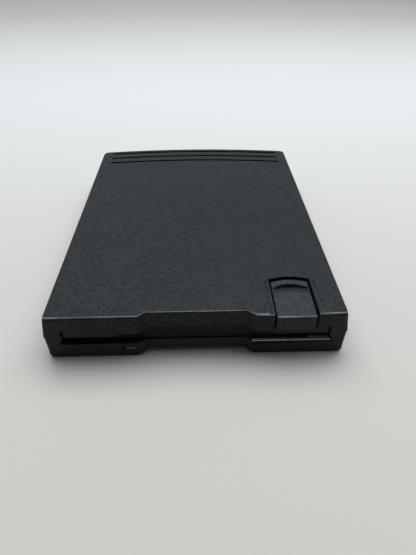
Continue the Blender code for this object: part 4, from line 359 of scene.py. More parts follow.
@dataclass(frozen=True)
class MouldedPlastic(Finish):
    """Injection-moulded plastic with an eroded grain that is rubbed smoother and paler at the edges, with a
    painted highlight on its front roundings by the rim share.

    The colour drifts slowly from dark to light. The pale worn colour serves the flecks, the rubbed edges
    and the painted highlight. Roughness goes from its first value on the flecks to its second in the pits.
    Painted shade darkens the floors and rear walls of the grooves across the rear of the top, by the share
    in grooves, in a near-black shade colour.
    """

    dark: Colour
    light: Colour
    worn_and_highlight: Colour
    grains: float = 2500.0
    grain_depth: float = 0.03 * MM
    fleck: float = 0.1
    wear_and_highlight: float = 0.7
    edge: float = 0.3 * MM
    roughness: Pair = (0.42, 0.62)
    dust: float = 0.35
    clouds: float = 60.0
    gloss: float = 0.2
    # Share of the painted highlight on the front roundings.
    rim: float = 0.0
    sharp_wear: float = 1.0
    # Painted shade in the rear grooves: its share, its near-black colour, and where the floors and rear
    # walls lie.
    grooves: float = 0.0
    groove_shade: Colour = (0.002, 0.0025, 0.003)
    groove_floor: float = 19.25 * MM
    groove_start: float = 45 * MM
    groove_fade: float = 0.1 * MM
    rear_wall: Pair = (-0.5, -0.2)
    level: Pair = (0.9, 0.95)
    smear_shine: float = 0.05
    edge_shine: float = 0.16

    def groove_shade_mask(self, graph: Graph, place: Socket) -> Socket:
        """Returns where painted shade falls: the floors and the rear walls of the grooves across the rear of
        the top.
        """
        normal = graph.normal()
        wall = graph.span(graph.part(normal, Axis.Y), *self.rear_wall, *FALLING)
        floor = graph.span(graph.part(place, Axis.Z), self.groove_floor,
                           self.groove_floor + self.groove_fade, *FALLING)
        level = graph.span(graph.part(normal, Axis.Z), *self.level)
        sunk = graph.math("MAXIMUM", wall, graph.times(floor, level))
        rear = graph.span(graph.part(place, Axis.Y), self.groove_start, self.groove_start + MM)
        return graph.times(graph.times(sunk, rear), self.grooves)

    def shade(self, graph: Graph, shader: Node) -> None:
        """Links grain, worn edges with painted highlight, painted shade in the rear grooves, dust and smears
        to colour, roughness and normal.
        """
        place = graph.place()
        grain = graph.group(grain_group(), Place=place, Grains=self.grains, Clouds=self.clouds)
        edge = graph.group(edge_group(), Place=place, Radius=self.edge, Rim=self.rim,
                           Wear=self.sharp_wear)
        marks = graph.group(dust_group(), Place=place)
        colour = graph.mix(grain["Cloud"], self.dark, self.light)
        # The edge mask carries both wear and the painted highlight on the front roundings.
        for mask, share, paint in ((grain["Fleck"], self.fleck, self.worn_and_highlight),
                                   (edge["Edge"], self.wear_and_highlight, self.worn_and_highlight),
                                   (marks["Speck"], self.dust, DUST)):
            colour = graph.mix(graph.times(mask, share), colour, paint)
        # Painted shade: the grooves across the rear of the top are darkened in colour.
        if self.grooves:
            colour = graph.mix(self.groove_shade_mask(graph, place), colour, self.groove_shade)
        rough = graph.span(grain["Fleck"], 0.0, 1.0, self.roughness[1], self.roughness[0])
        rough = graph.less(rough, graph.times(marks["Smear"], self.smear_shine))
        rough = graph.less(rough, graph.times(edge["Edge"], self.edge_shine))
        graph.fill(shader, {"Base Color": colour, "Roughness": rough, "Specular IOR Level": self.gloss,
                            "Normal": graph.bump(self.grain_depth, grain["Height"], edge["Normal"])})


@dataclass(frozen=True)
class SheetMetal(Finish):
    """Rolled, plated or turned metal with fine lines along one axis and blotches from handling."""

    dark: Colour = (0.3, 0.3, 0.29)
    light: Colour = (0.5, 0.5, 0.48)
    along: Axis = Axis.Y
    lines: float = 1500.0
    depth: float = 0.006 * MM
    edge: float = 0.08 * MM
    edge_gain: float = 1.25
    streak_share: float = 0.55
    roughness: Pair = (0.38, 0.54)

    def shade(self, graph: Graph, shader: Node) -> None:
        """Links the drawn lines, the blotches and bright edges."""
        place = graph.place((0, 0, math.pi / 2) if self.along is Axis.X else None)
        sheet = graph.group(sheet_group(), Place=place, Lines=self.lines)
        edge = graph.group(edge_group(), Place=place, Radius=self.edge)
        tone = graph.weigh(sheet["Streak"], sheet["Blotch"], self.streak_share)
        bright = tuple(min(1.0, c * self.edge_gain) for c in self.light)
        colour = graph.mix(edge["Edge"], graph.mix(tone, self.dark, self.light), bright)
        graph.fill(shader, {"Base Color": colour, "Metallic": 1.0,
                            "Roughness": graph.span(sheet["Blotch"], 0.0, 1.0, *self.roughness),
                            "Normal": graph.bump(self.depth, sheet["Height"], edge["Normal"])})


@dataclass(frozen=True)
class GreenLens(Finish):
    """Clear tinted plastic, darker in its depth, with a frosted skin."""

    deep: Colour = (0.006, 0.03, 0.02)
    pale: Colour = (0.02, 0.1, 0.07)
    depth_from: float = -68.1 * MM
    depth_to: float = -66.0 * MM
    frosting: float = 5200.0
    frost_depth: float = 0.002 * MM
    frost_share: float = 0.12
    frost_span: Pair = (0.4, 0.75)
    roughness: Pair = (0.16, 0.34)
    clear: float = 0.05
    index: float = 1.49
    edge: float = 0.05 * MM

    def shade(self, graph: Graph, shader: Node) -> None:
        """Links the depth tint and the frosting."""
        place = graph.place()
        frost = graph.noise(place, self.frosting, detail=3.0, rough=0.6)
        inward = graph.span(graph.part(place, Axis.Y), self.depth_from, self.depth_to)
        tint = graph.mix(inward, self.pale, self.deep)
        soft = graph.group(edge_group(), Place=place, Radius=self.edge)
        graph.fill(shader, {
            "Base Color": graph.mix(graph.span(frost, *self.frost_span, 0.0, self.frost_share), tint,
                                    self.pale),
            "Roughness": graph.span(frost, *NOISE_SPAN, *self.roughness),
            "Transmission Weight": self.clear, "IOR": self.index,
            "Normal": graph.bump(self.frost_depth, frost, soft["Normal"])})


@dataclass(frozen=True)
class SolderMask(Finish):
    """Green board: mask over copper tracks that run in blocks along X or along Y, with tinned pads."""

    mask: Colour = (0.008, 0.075, 0.03)
    track: Colour = (0.02, 0.14, 0.055)
    tin: Colour = (0.5, 0.5, 0.46)
    block: float = 150.0
    pitch: float = 900.0
    track_edge: Pair = (0.17, 0.25)
    bare_share: float = 0.3
    pads: float = 520.0
    pad_share: float = 0.18
    pad_edge: Pair = (0.24, 0.32)
    mottle: float = 300.0
    haze: float = 700.0
    roughness: Pair = (0.2, 0.36)
    relief: float = 0.03 * MM

    def shade(self, graph: Graph, shader: Node) -> None:
        """Links the tracks and pads."""
        place = graph.place()
        blocks = graph.cells(place, self.block, distance="CHEBYCHEV")["Color"]
        across = graph.math("GREATER_THAN", graph.part(blocks, Axis.X), 0.5)
        runs = [graph.lines(graph.part(place, axis), self.pitch, *self.track_edge)
                for axis in (Axis.X, Axis.Y)]
        chosen = graph.math("ADD", graph.times(runs[0], across),
                            graph.times(runs[1], graph.less(1.0, across)))
        laid = graph.times(chosen, graph.math("GREATER_THAN", graph.part(blocks, Axis.Y),
                                              self.bare_share))
        dots = graph.cells(place, self.pads, scatter=0.0)
        wanted = graph.math("GREATER_THAN", graph.part(dots["Color"], Axis.Y), 1 - self.pad_share)
        pad = graph.times(graph.span(dots["Distance"], *self.pad_edge, *FALLING), wanted)
        tone = graph.mix(graph.noise(place, self.mottle, detail=3.0),
                         graph.mix(laid, self.mask, self.track), self.mask)
        rough = graph.span(graph.noise(place, self.haze, detail=3.0), *NOISE_SPAN, *self.roughness)
        graph.fill(shader, {"Base Color": graph.mix(pad, tone, self.tin), "Metallic": pad,
                            "Roughness": rough,
                            "Normal": graph.bump(self.relief, graph.math("ADD", laid, pad))})


@dataclass(frozen=True)
class TrackedFilm(Finish):
    """Amber film with fine copper tracks along Y under its skin."""

    film: Colour = (0.33, 0.17, 0.035)
    copper: Colour = (0.42, 0.16, 0.06)
    shadow: float = 0.6
    pitch: float = 2000.0
    track_edge: Pair = (0.2, 0.28)
    haze: float = 500.0
    haze_share: float = 0.4
    roughness: Pair = (0.22, 0.38)
    relief: float = 0.012 * MM

    def shade(self, graph: Graph, shader: Node) -> None:
        """Links the tracks and the film's haze."""
        place = graph.place()
        track = graph.lines(graph.part(place, Axis.X), self.pitch, *self.track_edge)
        haze = graph.noise(place, self.haze, detail=3.0, rough=0.6)
        tone = graph.mix(graph.span(haze, *NOISE_SPAN, 0.0, self.haze_share), self.film,
                         tuple(c * self.shadow for c in self.film))
        graph.fill(shader, {"Base Color": graph.mix(track, tone, self.copper),
                            "Roughness": graph.span(haze, *NOISE_SPAN, *self.roughness),
                            "Normal": graph.bump(self.relief, track)})


@dataclass(frozen=True)
class Winding(Finish):
    """Enamelled copper wire, laid in close turns around each tooth."""

    dark: Colour = (0.28, 0.075, 0.025)
    light: Colour = (0.62, 0.24, 0.1)
    wires: float = 2600.0
    blotches: float = 240.0
    wire_share: float = 0.6
    tone_span: Pair = (0.35, 0.65)
    roughness: Pair = (0.2, 0.38)

    def shade(self, graph: Graph, shader: Node) -> None:
        """Links the change of tone from turn to turn."""
        place = graph.place()
        tone = graph.noise(place, self.wires)
        both = graph.weigh(tone, graph.noise(place, self.blotches), self.wire_share)
        colour = graph.mix(graph.span(both, *self.tone_span), self.dark, self.light)
        graph.fill(shader, {"Base Color": colour, "Metallic": 1.0,
                            "Roughness": graph.span(tone, *NOISE_SPAN, *self.roughness)})


@dataclass(frozen=True)
class PaperSweep(Finish):
    """Pale paper with a faint tooth; painted light makes it darker near the lens side and far off than
    midway.
    """

    near: Colour = (0.65, 0.645, 0.6)
    middle: Colour = (0.74, 0.75, 0.75)
    far: Colour = (0.5, 0.5, 0.49)
    hollow: Colour = (0.3, 0.3, 0.3)
    near_y: float = -0.16
    middle_y: float = 0.2
    far_y: float = 0.75
    tooth: float = 900.0
    tooth_depth: float = 0.02 * MM
    tooth_strength: float = 0.3
    tooth_share: float = 0.03
    roughness: float = 0.85
    gloss: float = 0.2

    def shade(self, graph: Graph, shader: Node) -> None:
        """Links the painted light across the paper, from near to middle to far, and the tooth of the paper.
        """
        place = graph.place()
        # Painted light: the tone is darker and warmer near the lens side, brightest in the middle, darker
        # far off.
        along = graph.part(place, Axis.Y)
        first = graph.mix(graph.span(along, self.near_y, self.middle_y), self.near, self.middle)
        tone = graph.mix(graph.span(along, self.middle_y, self.far_y), first, self.far)
        tooth = graph.noise(place, self.tooth, detail=4.0, rough=0.6)
        graph.fill(shader, {
            "Base Color": graph.mix(graph.span(tooth, *NOISE_SPAN, 0.0, self.tooth_share), tone,
                                    self.hollow),
            "Roughness": self.roughness, "Specular IOR Level": self.gloss,
            "Normal": graph.bump(self.tooth_depth, tooth, strength=self.tooth_strength)})


DUST: Colour = (0.2, 0.2, 0.19)

# Painted highlight: the pale worn colour and the rim share paint a highlight on the front roundings of the
# top; grooves sets the painted shade in the rear grooves.
TOP_PLASTIC = MouldedPlastic(
    "top_plastic", "top_plastic", (0.0072, 0.0112, 0.0142), (0.009, 0.013, 0.0162), (0.3, 0.33, 0.35),
    grains=2400.0, grain_depth=0.035 * MM, fleck=0.035, wear_and_highlight=0.9, edge=0.25 * MM, rim=0.8,
    sharp_wear=0.12, grooves=0.9, gloss=0.17)
BASE_PLASTIC = MouldedPlastic(
    "base_plastic", "base_plastic", (0.011, 0.015, 0.015), (0.014, 0.018, 0.018), (0.12, 0.135, 0.135),
    grains=1700.0, edge=0.4 * MM, fleck=0.03, wear_and_highlight=0.5)
# Painted highlight: the pale worn colour and the rim share paint a highlight on the key's front rounding.
KEY_PLASTIC = MouldedPlastic(
    "key_plastic", "top_plastic", (0.0145, 0.0195, 0.0235), (0.0175, 0.0225, 0.0265), (0.28, 0.31, 0.33),
    grains=2200.0, grain_depth=0.035 * MM, fleck=0.05, wear_and_highlight=0.9, rim=0.8, sharp_wear=0.15)
DOOR_PLASTIC = MouldedPlastic(
    "door_plastic", "door_plastic", (0.008, 0.0105, 0.011), (0.0105, 0.0135, 0.014), (0.07, 0.08, 0.08),
    grains=3200.0, grain_depth=0.012 * MM, roughness=(0.5, 0.65), gloss=0.12)
BLACK_PLASTIC = MouldedPlastic(
    "black_plastic", "black_plastic", (0.009, 0.009, 0.011), (0.013, 0.013, 0.015), (0.04, 0.04, 0.042),
    grains=3000.0, grain_depth=0.01 * MM, edge=0.1 * MM, roughness=(0.32, 0.5), dust=0.1)
WHITE_PLASTIC = MouldedPlastic(
    "white_plastic", "white_plastic", (0.6, 0.58, 0.52), (0.7, 0.68, 0.62), (0.76, 0.75, 0.7),
    grains=2600.0, grain_depth=0.008 * MM, edge=0.12 * MM, roughness=(0.34, 0.5), dust=0.05, fleck=0.15)
RUBBER = MouldedPlastic(
    "rubber", "rubber", (0.008, 0.008, 0.008), (0.014, 0.014, 0.014), (0.04, 0.04, 0.04),
    grains=1900.0, grain_depth=0.02 * MM, edge=0.25 * MM, roughness=(0.7, 0.88), dust=0.8)
CERAMIC = MouldedPlastic(
    "ceramic", "white_plastic", (0.2, 0.12, 0.06), (0.26, 0.16, 0.09), (0.34, 0.24, 0.15),
    grains=4200.0, grain_depth=0.006 * MM, edge=0.05 * MM)
# Painted reflection: the steel guide strip gets a pale warm non-metal colour, brightened, that stands in for
# the warm reflection it shows in the shade of the slot.
STRIP_PAINTED_REFLECTION = MouldedPlastic(
    "strip_painted_reflection", "steel", (0.42, 0.4, 0.35), (0.66, 0.63, 0.56), (0.85, 0.82, 0.74), grains=1500.0,
    grain_depth=0.01 * MM, edge=0.12 * MM, roughness=(0.3, 0.5), dust=0.2, clouds=420.0, gloss=0.6,
    fleck=0.3)
STEEL = SheetMetal("steel", "steel")
STEEL_ACROSS = SheetMetal("steel_across", "steel", along=Axis.X)
ZINC = SheetMetal("zinc", "zinc", (0.2, 0.2, 0.2), (0.34, 0.34, 0.33), lines=700.0,
                  roughness=(0.34, 0.5))
DARK_SCREW = SheetMetal("dark_screw", "steel", (0.05, 0.05, 0.052), (0.1, 0.1, 0.1), lines=900.0,
                        roughness=(0.3, 0.46))
GOLD = SheetMetal("contact_gold", "steel", (0.55, 0.37, 0.12), (0.8, 0.58, 0.24), edge=0.03 * MM,
                  roughness=(0.18, 0.3))
TIN = SheetMetal("tin", "steel", (0.4, 0.4, 0.38), (0.6, 0.6, 0.57), edge=0.04 * MM,
                 roughness=(0.25, 0.4))
IRON = SheetMetal("iron", "steel", (0.09, 0.09, 0.09), (0.16, 0.16, 0.155), roughness=(0.34, 0.5))
LENS = GreenLens("lens", "lens")
BOARD = SolderMask("board", "board")
FILM = TrackedFilm("ribbon", "ribbon")
COPPER = Winding("copper", "copper")
PAPER = PaperSweep("paper", "")


# Meshes


def place_object(name: str, data: bpy.types.ID) -> Object:
    """Puts a new object with this data into the scene, and returns it."""
    obj = bpy.data.objects.new(name, data)
    bpy.context.scene.collection.objects.link(obj)
    return obj


def new_mesh(name: str, bm: BMesh) -> bpy.types.Mesh:
    """Returns a mesh with what a bmesh holds, and frees the bmesh."""
    mesh = bpy.data.meshes.new(name)
    bm.to_mesh(mesh)
    bm.free()
    return mesh


def add_piece(name: str, bm: BMesh, body: Body | None, finish: Finish,
              replaces: Iterable[str] = (), smooth: float = 35.0) -> Object:
    """Turns a bmesh into a finished piece that rides on a body.

    Args:
        name: The piece's name.
        bm: The mesh, in place. It is freed.
        body: The body that the piece moves with, or None for one that is attached to no body.
        finish: The finish that dresses it.
        replaces: CAD nodes that it stands for.
        smooth: Edges that turn by more than this, in degrees, stay sharp.

    Returns:
        The object.
    """
    bmesh.ops.recalc_face_normals(bm, faces=bm.faces)
    mesh = new_mesh(name, bm)
    mesh.shade_smooth()
    mesh.set_sharp_from_angle(angle=math.radians(smooth))
    obj = place_object(name, mesh)
    finish.dress(obj)
    if body:
        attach(obj, body.value)
    if replaces:
        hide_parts(*replaces)
    LOG.info("%s: %d faces on %s", name, len(mesh.polygons), body.value if body else "two bodies")
    return obj


def ease(value: float, low: float, high: float) -> float:
    """Returns 0 below low, 1 above high and a smooth rise between them."""
    share = min(1.0, max(0.0, (value - low) / (high - low)))
    return share * share * (3 - 2 * share)


def rounding_inset(radius: float, above_foot: float) -> float:
    """Returns how far an edge of this radius is drawn in at a height above its foot."""
    if above_foot >= radius:
        return 0.0
    return radius - math.sqrt(max(0.0, radius ** 2 - (radius - above_foot) ** 2))


def arc(steps: int, angle: float = math.pi / 2) -> list[Pair]:
    """Returns the cosine and the sine of even steps from 0 to an angle, ends included."""
    turns = [angle * step / steps for step in range(steps + 1)]
    return [(math.cos(turn), math.sin(turn)) for turn in turns]


def only(parts: Iterable[object], kind: type) -> list:
    """Returns the parts of one kind, such as the vertices among what an operator made."""
    return [part for part in parts if isinstance(part, kind)]


def sheet(columns: int, rows: int) -> tuple[BMesh, list[tuple[BMVert, int, int]]]:
    """Returns a flat grid, and each of its points with the numbers of its column and its row."""
    bm = bmesh.new()
    bmesh.ops.create_grid(bm, x_segments=columns - 1, y_segments=rows - 1, size=0.5)
    return bm, [(v, round((v.co.x + 0.5) * (columns - 1)), round((v.co.y + 0.5) * (rows - 1)))
                for v in bm.verts]


def cuboid(bm: BMesh, low: Point, high: Point, edge: float, segments: int = 1) -> None:
    """Adds a block from its low corner to its high corner, with rounded edges."""
    made = bmesh.ops.create_cube(bm, size=1.0)["verts"]
    bmesh.ops.scale(bm, vec=Vector(high) - Vector(low), verts=made)
    bmesh.ops.translate(bm, vec=(Vector(low) + Vector(high)) / 2, verts=made)
    rims = list({e for v in made for e in v.link_edges})
    bmesh.ops.bevel(bm, geom=rims, offset=edge, offset_type="OFFSET", segments=segments, profile=0.5,
                    affect="EDGES", material=-1, clamp_overlap=True)


def standing(bm: BMesh, centre: Pair, half: Pair, foot: float,
             rise: float, edge: float) -> None:
    """Adds a block with rounded edges that stands on a foot.

    Args:
        bm: The mesh to add to.
        centre: The x and y of its middle.
        half: Half its size in x and in y.
        foot: The height that it stands on.
        rise: How far it rises above that.
        edge: Radius of its edges.
    """
    (x, y), (wide, deep) = centre, half
    cuboid(bm, (x - wide, y - deep, foot), (x + wide, y + deep, foot + rise), edge)


def turned(bm: BMesh, profile: Sequence[Pair], centre: Point, axis: Axis = Axis.Z,
           steps: int = 48) -> list[BMVert]:
    """Adds a piece turned on a lathe.

    Args:
        bm: The mesh to add to.
        profile: Radius and height of each point, from the foot of the axis to its head. The first and
            the last point are on the axis or join into a ring.
        centre: The point on the axis that heights are measured from.
        axis: The direction of the axis.
        steps: Faces around the piece.

    Returns:
        Its vertices.
    """
    before = set(bm.verts)
    line = [bm.verts.new((radius, 0, height)) for radius, height in profile]
    rims = [bm.edges.new(pair) for pair in zip(line, line[1:])]
    if profile[0][0] > 0 and profile[-1][0] > 0:
        rims.append(bm.edges.new((line[-1], line[0])))
    bmesh.ops.spin(bm, geom=line + rims, cent=(0, 0, 0), axis=(0, 0, 1), angle=math.tau, steps=steps,
                   use_merge=True)
    made = [v for v in bm.verts if v not in before]
    bmesh.ops.remove_doubles(bm, verts=made, dist=WELD)
    made = [v for v in bm.verts if v not in before]
    if axis is Axis.Y:
        bmesh.ops.rotate(bm, cent=(0, 0, 0), matrix=Matrix.Rotation(-math.pi / 2, 3, "X"), verts=made)
    bmesh.ops.translate(bm, vec=centre, verts=made)
    return made


# The studio


@dataclass
class Studio:
    """The pale paper that the drive stands on, the soft light and the camera."""

    eye: Point = (0.67 * MM, -164.7 * MM, 118.3 * MM)
    down: float = 40.35
    aside: float = 1.88
    roll: float = 0.25
    lens: float = 26.72
    half_width: float = 4.0
    tint: Colour = (0.96, 0.98, 1.0)
    horizon: Pair = (0.02, 0.8)
    zenith: Pair = (0.4, 0.4)
    front: Pair = (-0.7, 0.12)
    rear: Pair = (0.5, 1.0)
    lamp_place: Point = (0.1, 0.42, 1.06)
    lamp_size: Pair = (1.5, 0.9)
    lamp_watts: float = 15.5

    def camera(self) -> None:
        """Places the camera where the photograph was taken from."""
        data = bpy.data.cameras.new("camera")
        data.lens = self.lens
        data.clip_start = 5 * MM
        camera = place_object("camera", data)
        camera.matrix_world = Matrix.Translation(self.eye)
        for angle, axis in ((-self.aside, "Z"), (90 - self.down, "X"), (self.roll, "Z")):
            camera.matrix_world @= Matrix.Rotation(math.radians(angle), 4, axis)
        bpy.context.scene.camera = camera

    def paper(self) -> None:
        """Lays the paper, a broad flat floor."""
        bm = bmesh.new()
        bmesh.ops.create_grid(bm, x_segments=8, y_segments=8, size=self.half_width)
        obj = place_object("paper_floor", new_mesh("paper_floor", bm))
        PAPER.dress(obj)

    def lamp(self) -> None:
        """Hangs the soft box, turned towards the drive."""
        data = bpy.data.lights.new("soft_box_back", "AREA")
        data.shape = "RECTANGLE"
        data.size, data.size_y = self.lamp_size
        data.energy = self.lamp_watts
        data.color = self.tint
        obj = place_object("soft_box_back", data)
        obj.location = self.lamp_place
        obj.rotation_euler = (-Vector(self.lamp_place)).to_track_quat("-Z", "Y").to_euler()

    def world(self) -> None:
        """Fills the room with even light: pale at the horizon, dimmer overhead and to the front.

        The lens sees the front as pale as the rest, and so does glass. Each end of a change of level
        is a pair: where it lies in the direction of the light, and the level there.
        """
        made = bpy.data.worlds.new("room")
        made.use_nodes = True
        made.node_tree.nodes.clear()
        graph = Graph(made.node_tree)
        direction = graph.add("ShaderNodeTexCoord").outputs["Generated"]
        level, side = (
            graph.span(graph.part(direction, axis), first[0], last[0], first[1], last[1])
            for axis, first, last in ((Axis.Z, self.horizon, self.zenith), (Axis.Y, self.front, self.rear)))
        path = graph.add("ShaderNodeLightPath").outputs
        seen = graph.math("MAXIMUM", path["Is Camera Ray"], path["Is Transmission Ray"])
        level = graph.times(level, graph.math("MAXIMUM", side, seen))
        even = graph.add("ShaderNodeBackground", {"Color": (*self.tint, 1), "Strength": level})
        graph.add("ShaderNodeOutputWorld", {"Surface": even.outputs[0]})
        bpy.context.scene.world = made

    def build(self) -> None:
        """Sets up the stage, the lights and the camera."""
        self.camera()
        self.paper()
        self.world()
        self.lamp()
        bpy.context.scene.view_settings.view_transform = "Standard"
        LOG.info("studio: paper, room light, a soft box and the camera")


# Case


@dataclass
class Covers:
    """The two moulded covers: copies of the CAD shells with fuller sides and crisp corners.

    The CAD's own sizes come first. The sizes from belly on say how the copies differ.
    """

    half_width: float = 52 * MM
    half_depth: float = 68.5 * MM
    parting: float = 10.26 * MM
    corner: float = 2.2 * MM
    foot: float = 0.6 * MM
    reveal: float = 0.3 * MM
    draft: float = 0.7 * MM
    edge: float = 1.8 * MM
    belly: float = 1.25 * MM
    belly_top: float = 18.2 * MM
    wall: float = 5.0 * MM
    corner_push: float = 0.5
    front_edge: float = 0.45 * MM
    front_push: float = 0.4 * MM
    slot_sill: float = 5.0 * MM
    side_draft: float = 0.1 * MM
    side_edge: float = 1.7 * MM
    foot_drop: float = 0.45 * MM
    drop_reach: float = 3.0 * MM
    recess_top: float = 19.3 * MM
    recess_rear: float = -64.0 * MM
    recess_edge: float = 0.6 * MM
    recess_steps: int = 3
    sharp: float = 1.2
    flat: float = 0.005

    def sharpen_corner(self, place: Vector, inset: float) -> None:
        """Pushes a point of the front corners outwards, so that the corner is tighter."""
        heart_x = self.half_width - inset - self.corner
        heart_y = -(self.half_depth - inset - self.corner)
        across, along = abs(place.x) - heart_x, heart_y - place.y
        if across <= 0 or along <= 0:
            return
        square = math.hypot(across, along) / max(across, along)
        grow = 1 + self.corner_push * (square - 1)
        place.x = math.copysign(heart_x + across * grow, place.x)
        place.y = heart_y - along * grow

    def bulge(self, place: Vector) -> None:
        """Moves a point of a side wall out, in full up to the parting line and less above it."""
        share = 1 - ease(place.z, self.parting, self.belly_top)
        near = ease(abs(place.x), self.half_width - self.wall, self.half_width)
        place.x += math.copysign(self.belly * share * near, place.x)

    def drawn_in(self, z: float, draft: float, edge: float) -> float:
        """Returns how far a wall of the bottom cover is drawn in by its draft and its lower edge."""
        share = min(1.0, max(0.0, (self.parting - z) / (self.parting - self.foot)))
        return draft * share + rounding_inset(edge, z - self.foot)

    def square_front_foot(self, place: Vector) -> None:
        """Takes the draft out of the front of the bottom cover and tightens its lower edge."""
        if place.y > -(self.half_depth - self.wall):
            return
        old = self.drawn_in(place.z, self.draft, self.edge)
        new = self.drawn_in(place.z, 0.0, self.front_edge)
        near = ease(-place.y, self.half_depth - self.wall, self.half_depth - old)
        place.y -= (old - new + self.front_push * (1 - ease(place.z, self.foot, self.slot_sill))) * near

    def square_side_foot(self, place: Vector) -> None:
        """Tightens the lower edge of the sides of the bottom cover and lowers its floor a little."""
        old = self.drawn_in(place.z, self.draft, self.edge)
        new = self.drawn_in(place.z, self.side_draft, self.side_edge)
        near = ease(abs(place.x), self.half_width - self.wall, self.half_width - self.reveal - old)
        place.x += math.copysign((old - new) * near, place.x)
        place.z -= self.foot_drop * (1 - ease(place.z, self.foot, self.foot + self.drop_reach))

    def round_recess(self, bm: BMesh) -> None:
        """Rounds the top edge of the recess in the front, once flat faces are whole again."""
        bmesh.ops.dissolve_limit(bm, angle_limit=self.flat, verts=bm.verts, edges=bm.edges,
                                 use_dissolve_boundaries=False, delimit=set())
        rims = []
        for edge in bm.edges:
            high = all(v.co.z > self.recess_top and v.co.y < self.recess_rear for v in edge.verts)
            if high and len(edge.link_faces) == 2 and edge.calc_face_angle() > self.sharp:
                rims.append(edge)
        LOG.info("recess: %d edges rounded", len(rims))
        bmesh.ops.bevel(bm, geom=rims, offset=self.recess_edge, offset_type="OFFSET",
                        segments=self.recess_steps, profile=0.5, affect="EDGES", material=-1,
                        clamp_overlap=False)

    def shell(self, name: str, node: str, finish: Finish, lower: bool) -> None:
        """Builds one cover from its node's mesh."""
        bm = bmesh.new()
        bm.from_mesh(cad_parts[node].data)
        bmesh.ops.remove_doubles(bm, verts=bm.verts, dist=WELD)
        if not lower:
            self.round_recess(bm)
        for vert in bm.verts:
            if lower:
                self.square_front_foot(vert.co)
                self.square_side_foot(vert.co)
            self.sharpen_corner(vert.co, self.reveal if lower else 0.0)
            self.bulge(vert.co)
        obj = add_piece(name, bm, Body.CASE, finish, [node], smooth=28.0)
        obj.modifiers.new("even shading", "WEIGHTED_NORMAL").keep_sharp = True

    def build(self) -> None:
        """Builds both covers."""
        self.shell("top_shell", "top_cover", TOP_PLASTIC, False)
        self.shell("bottom_shell", "bottom_cover", BASE_PLASTIC, True)


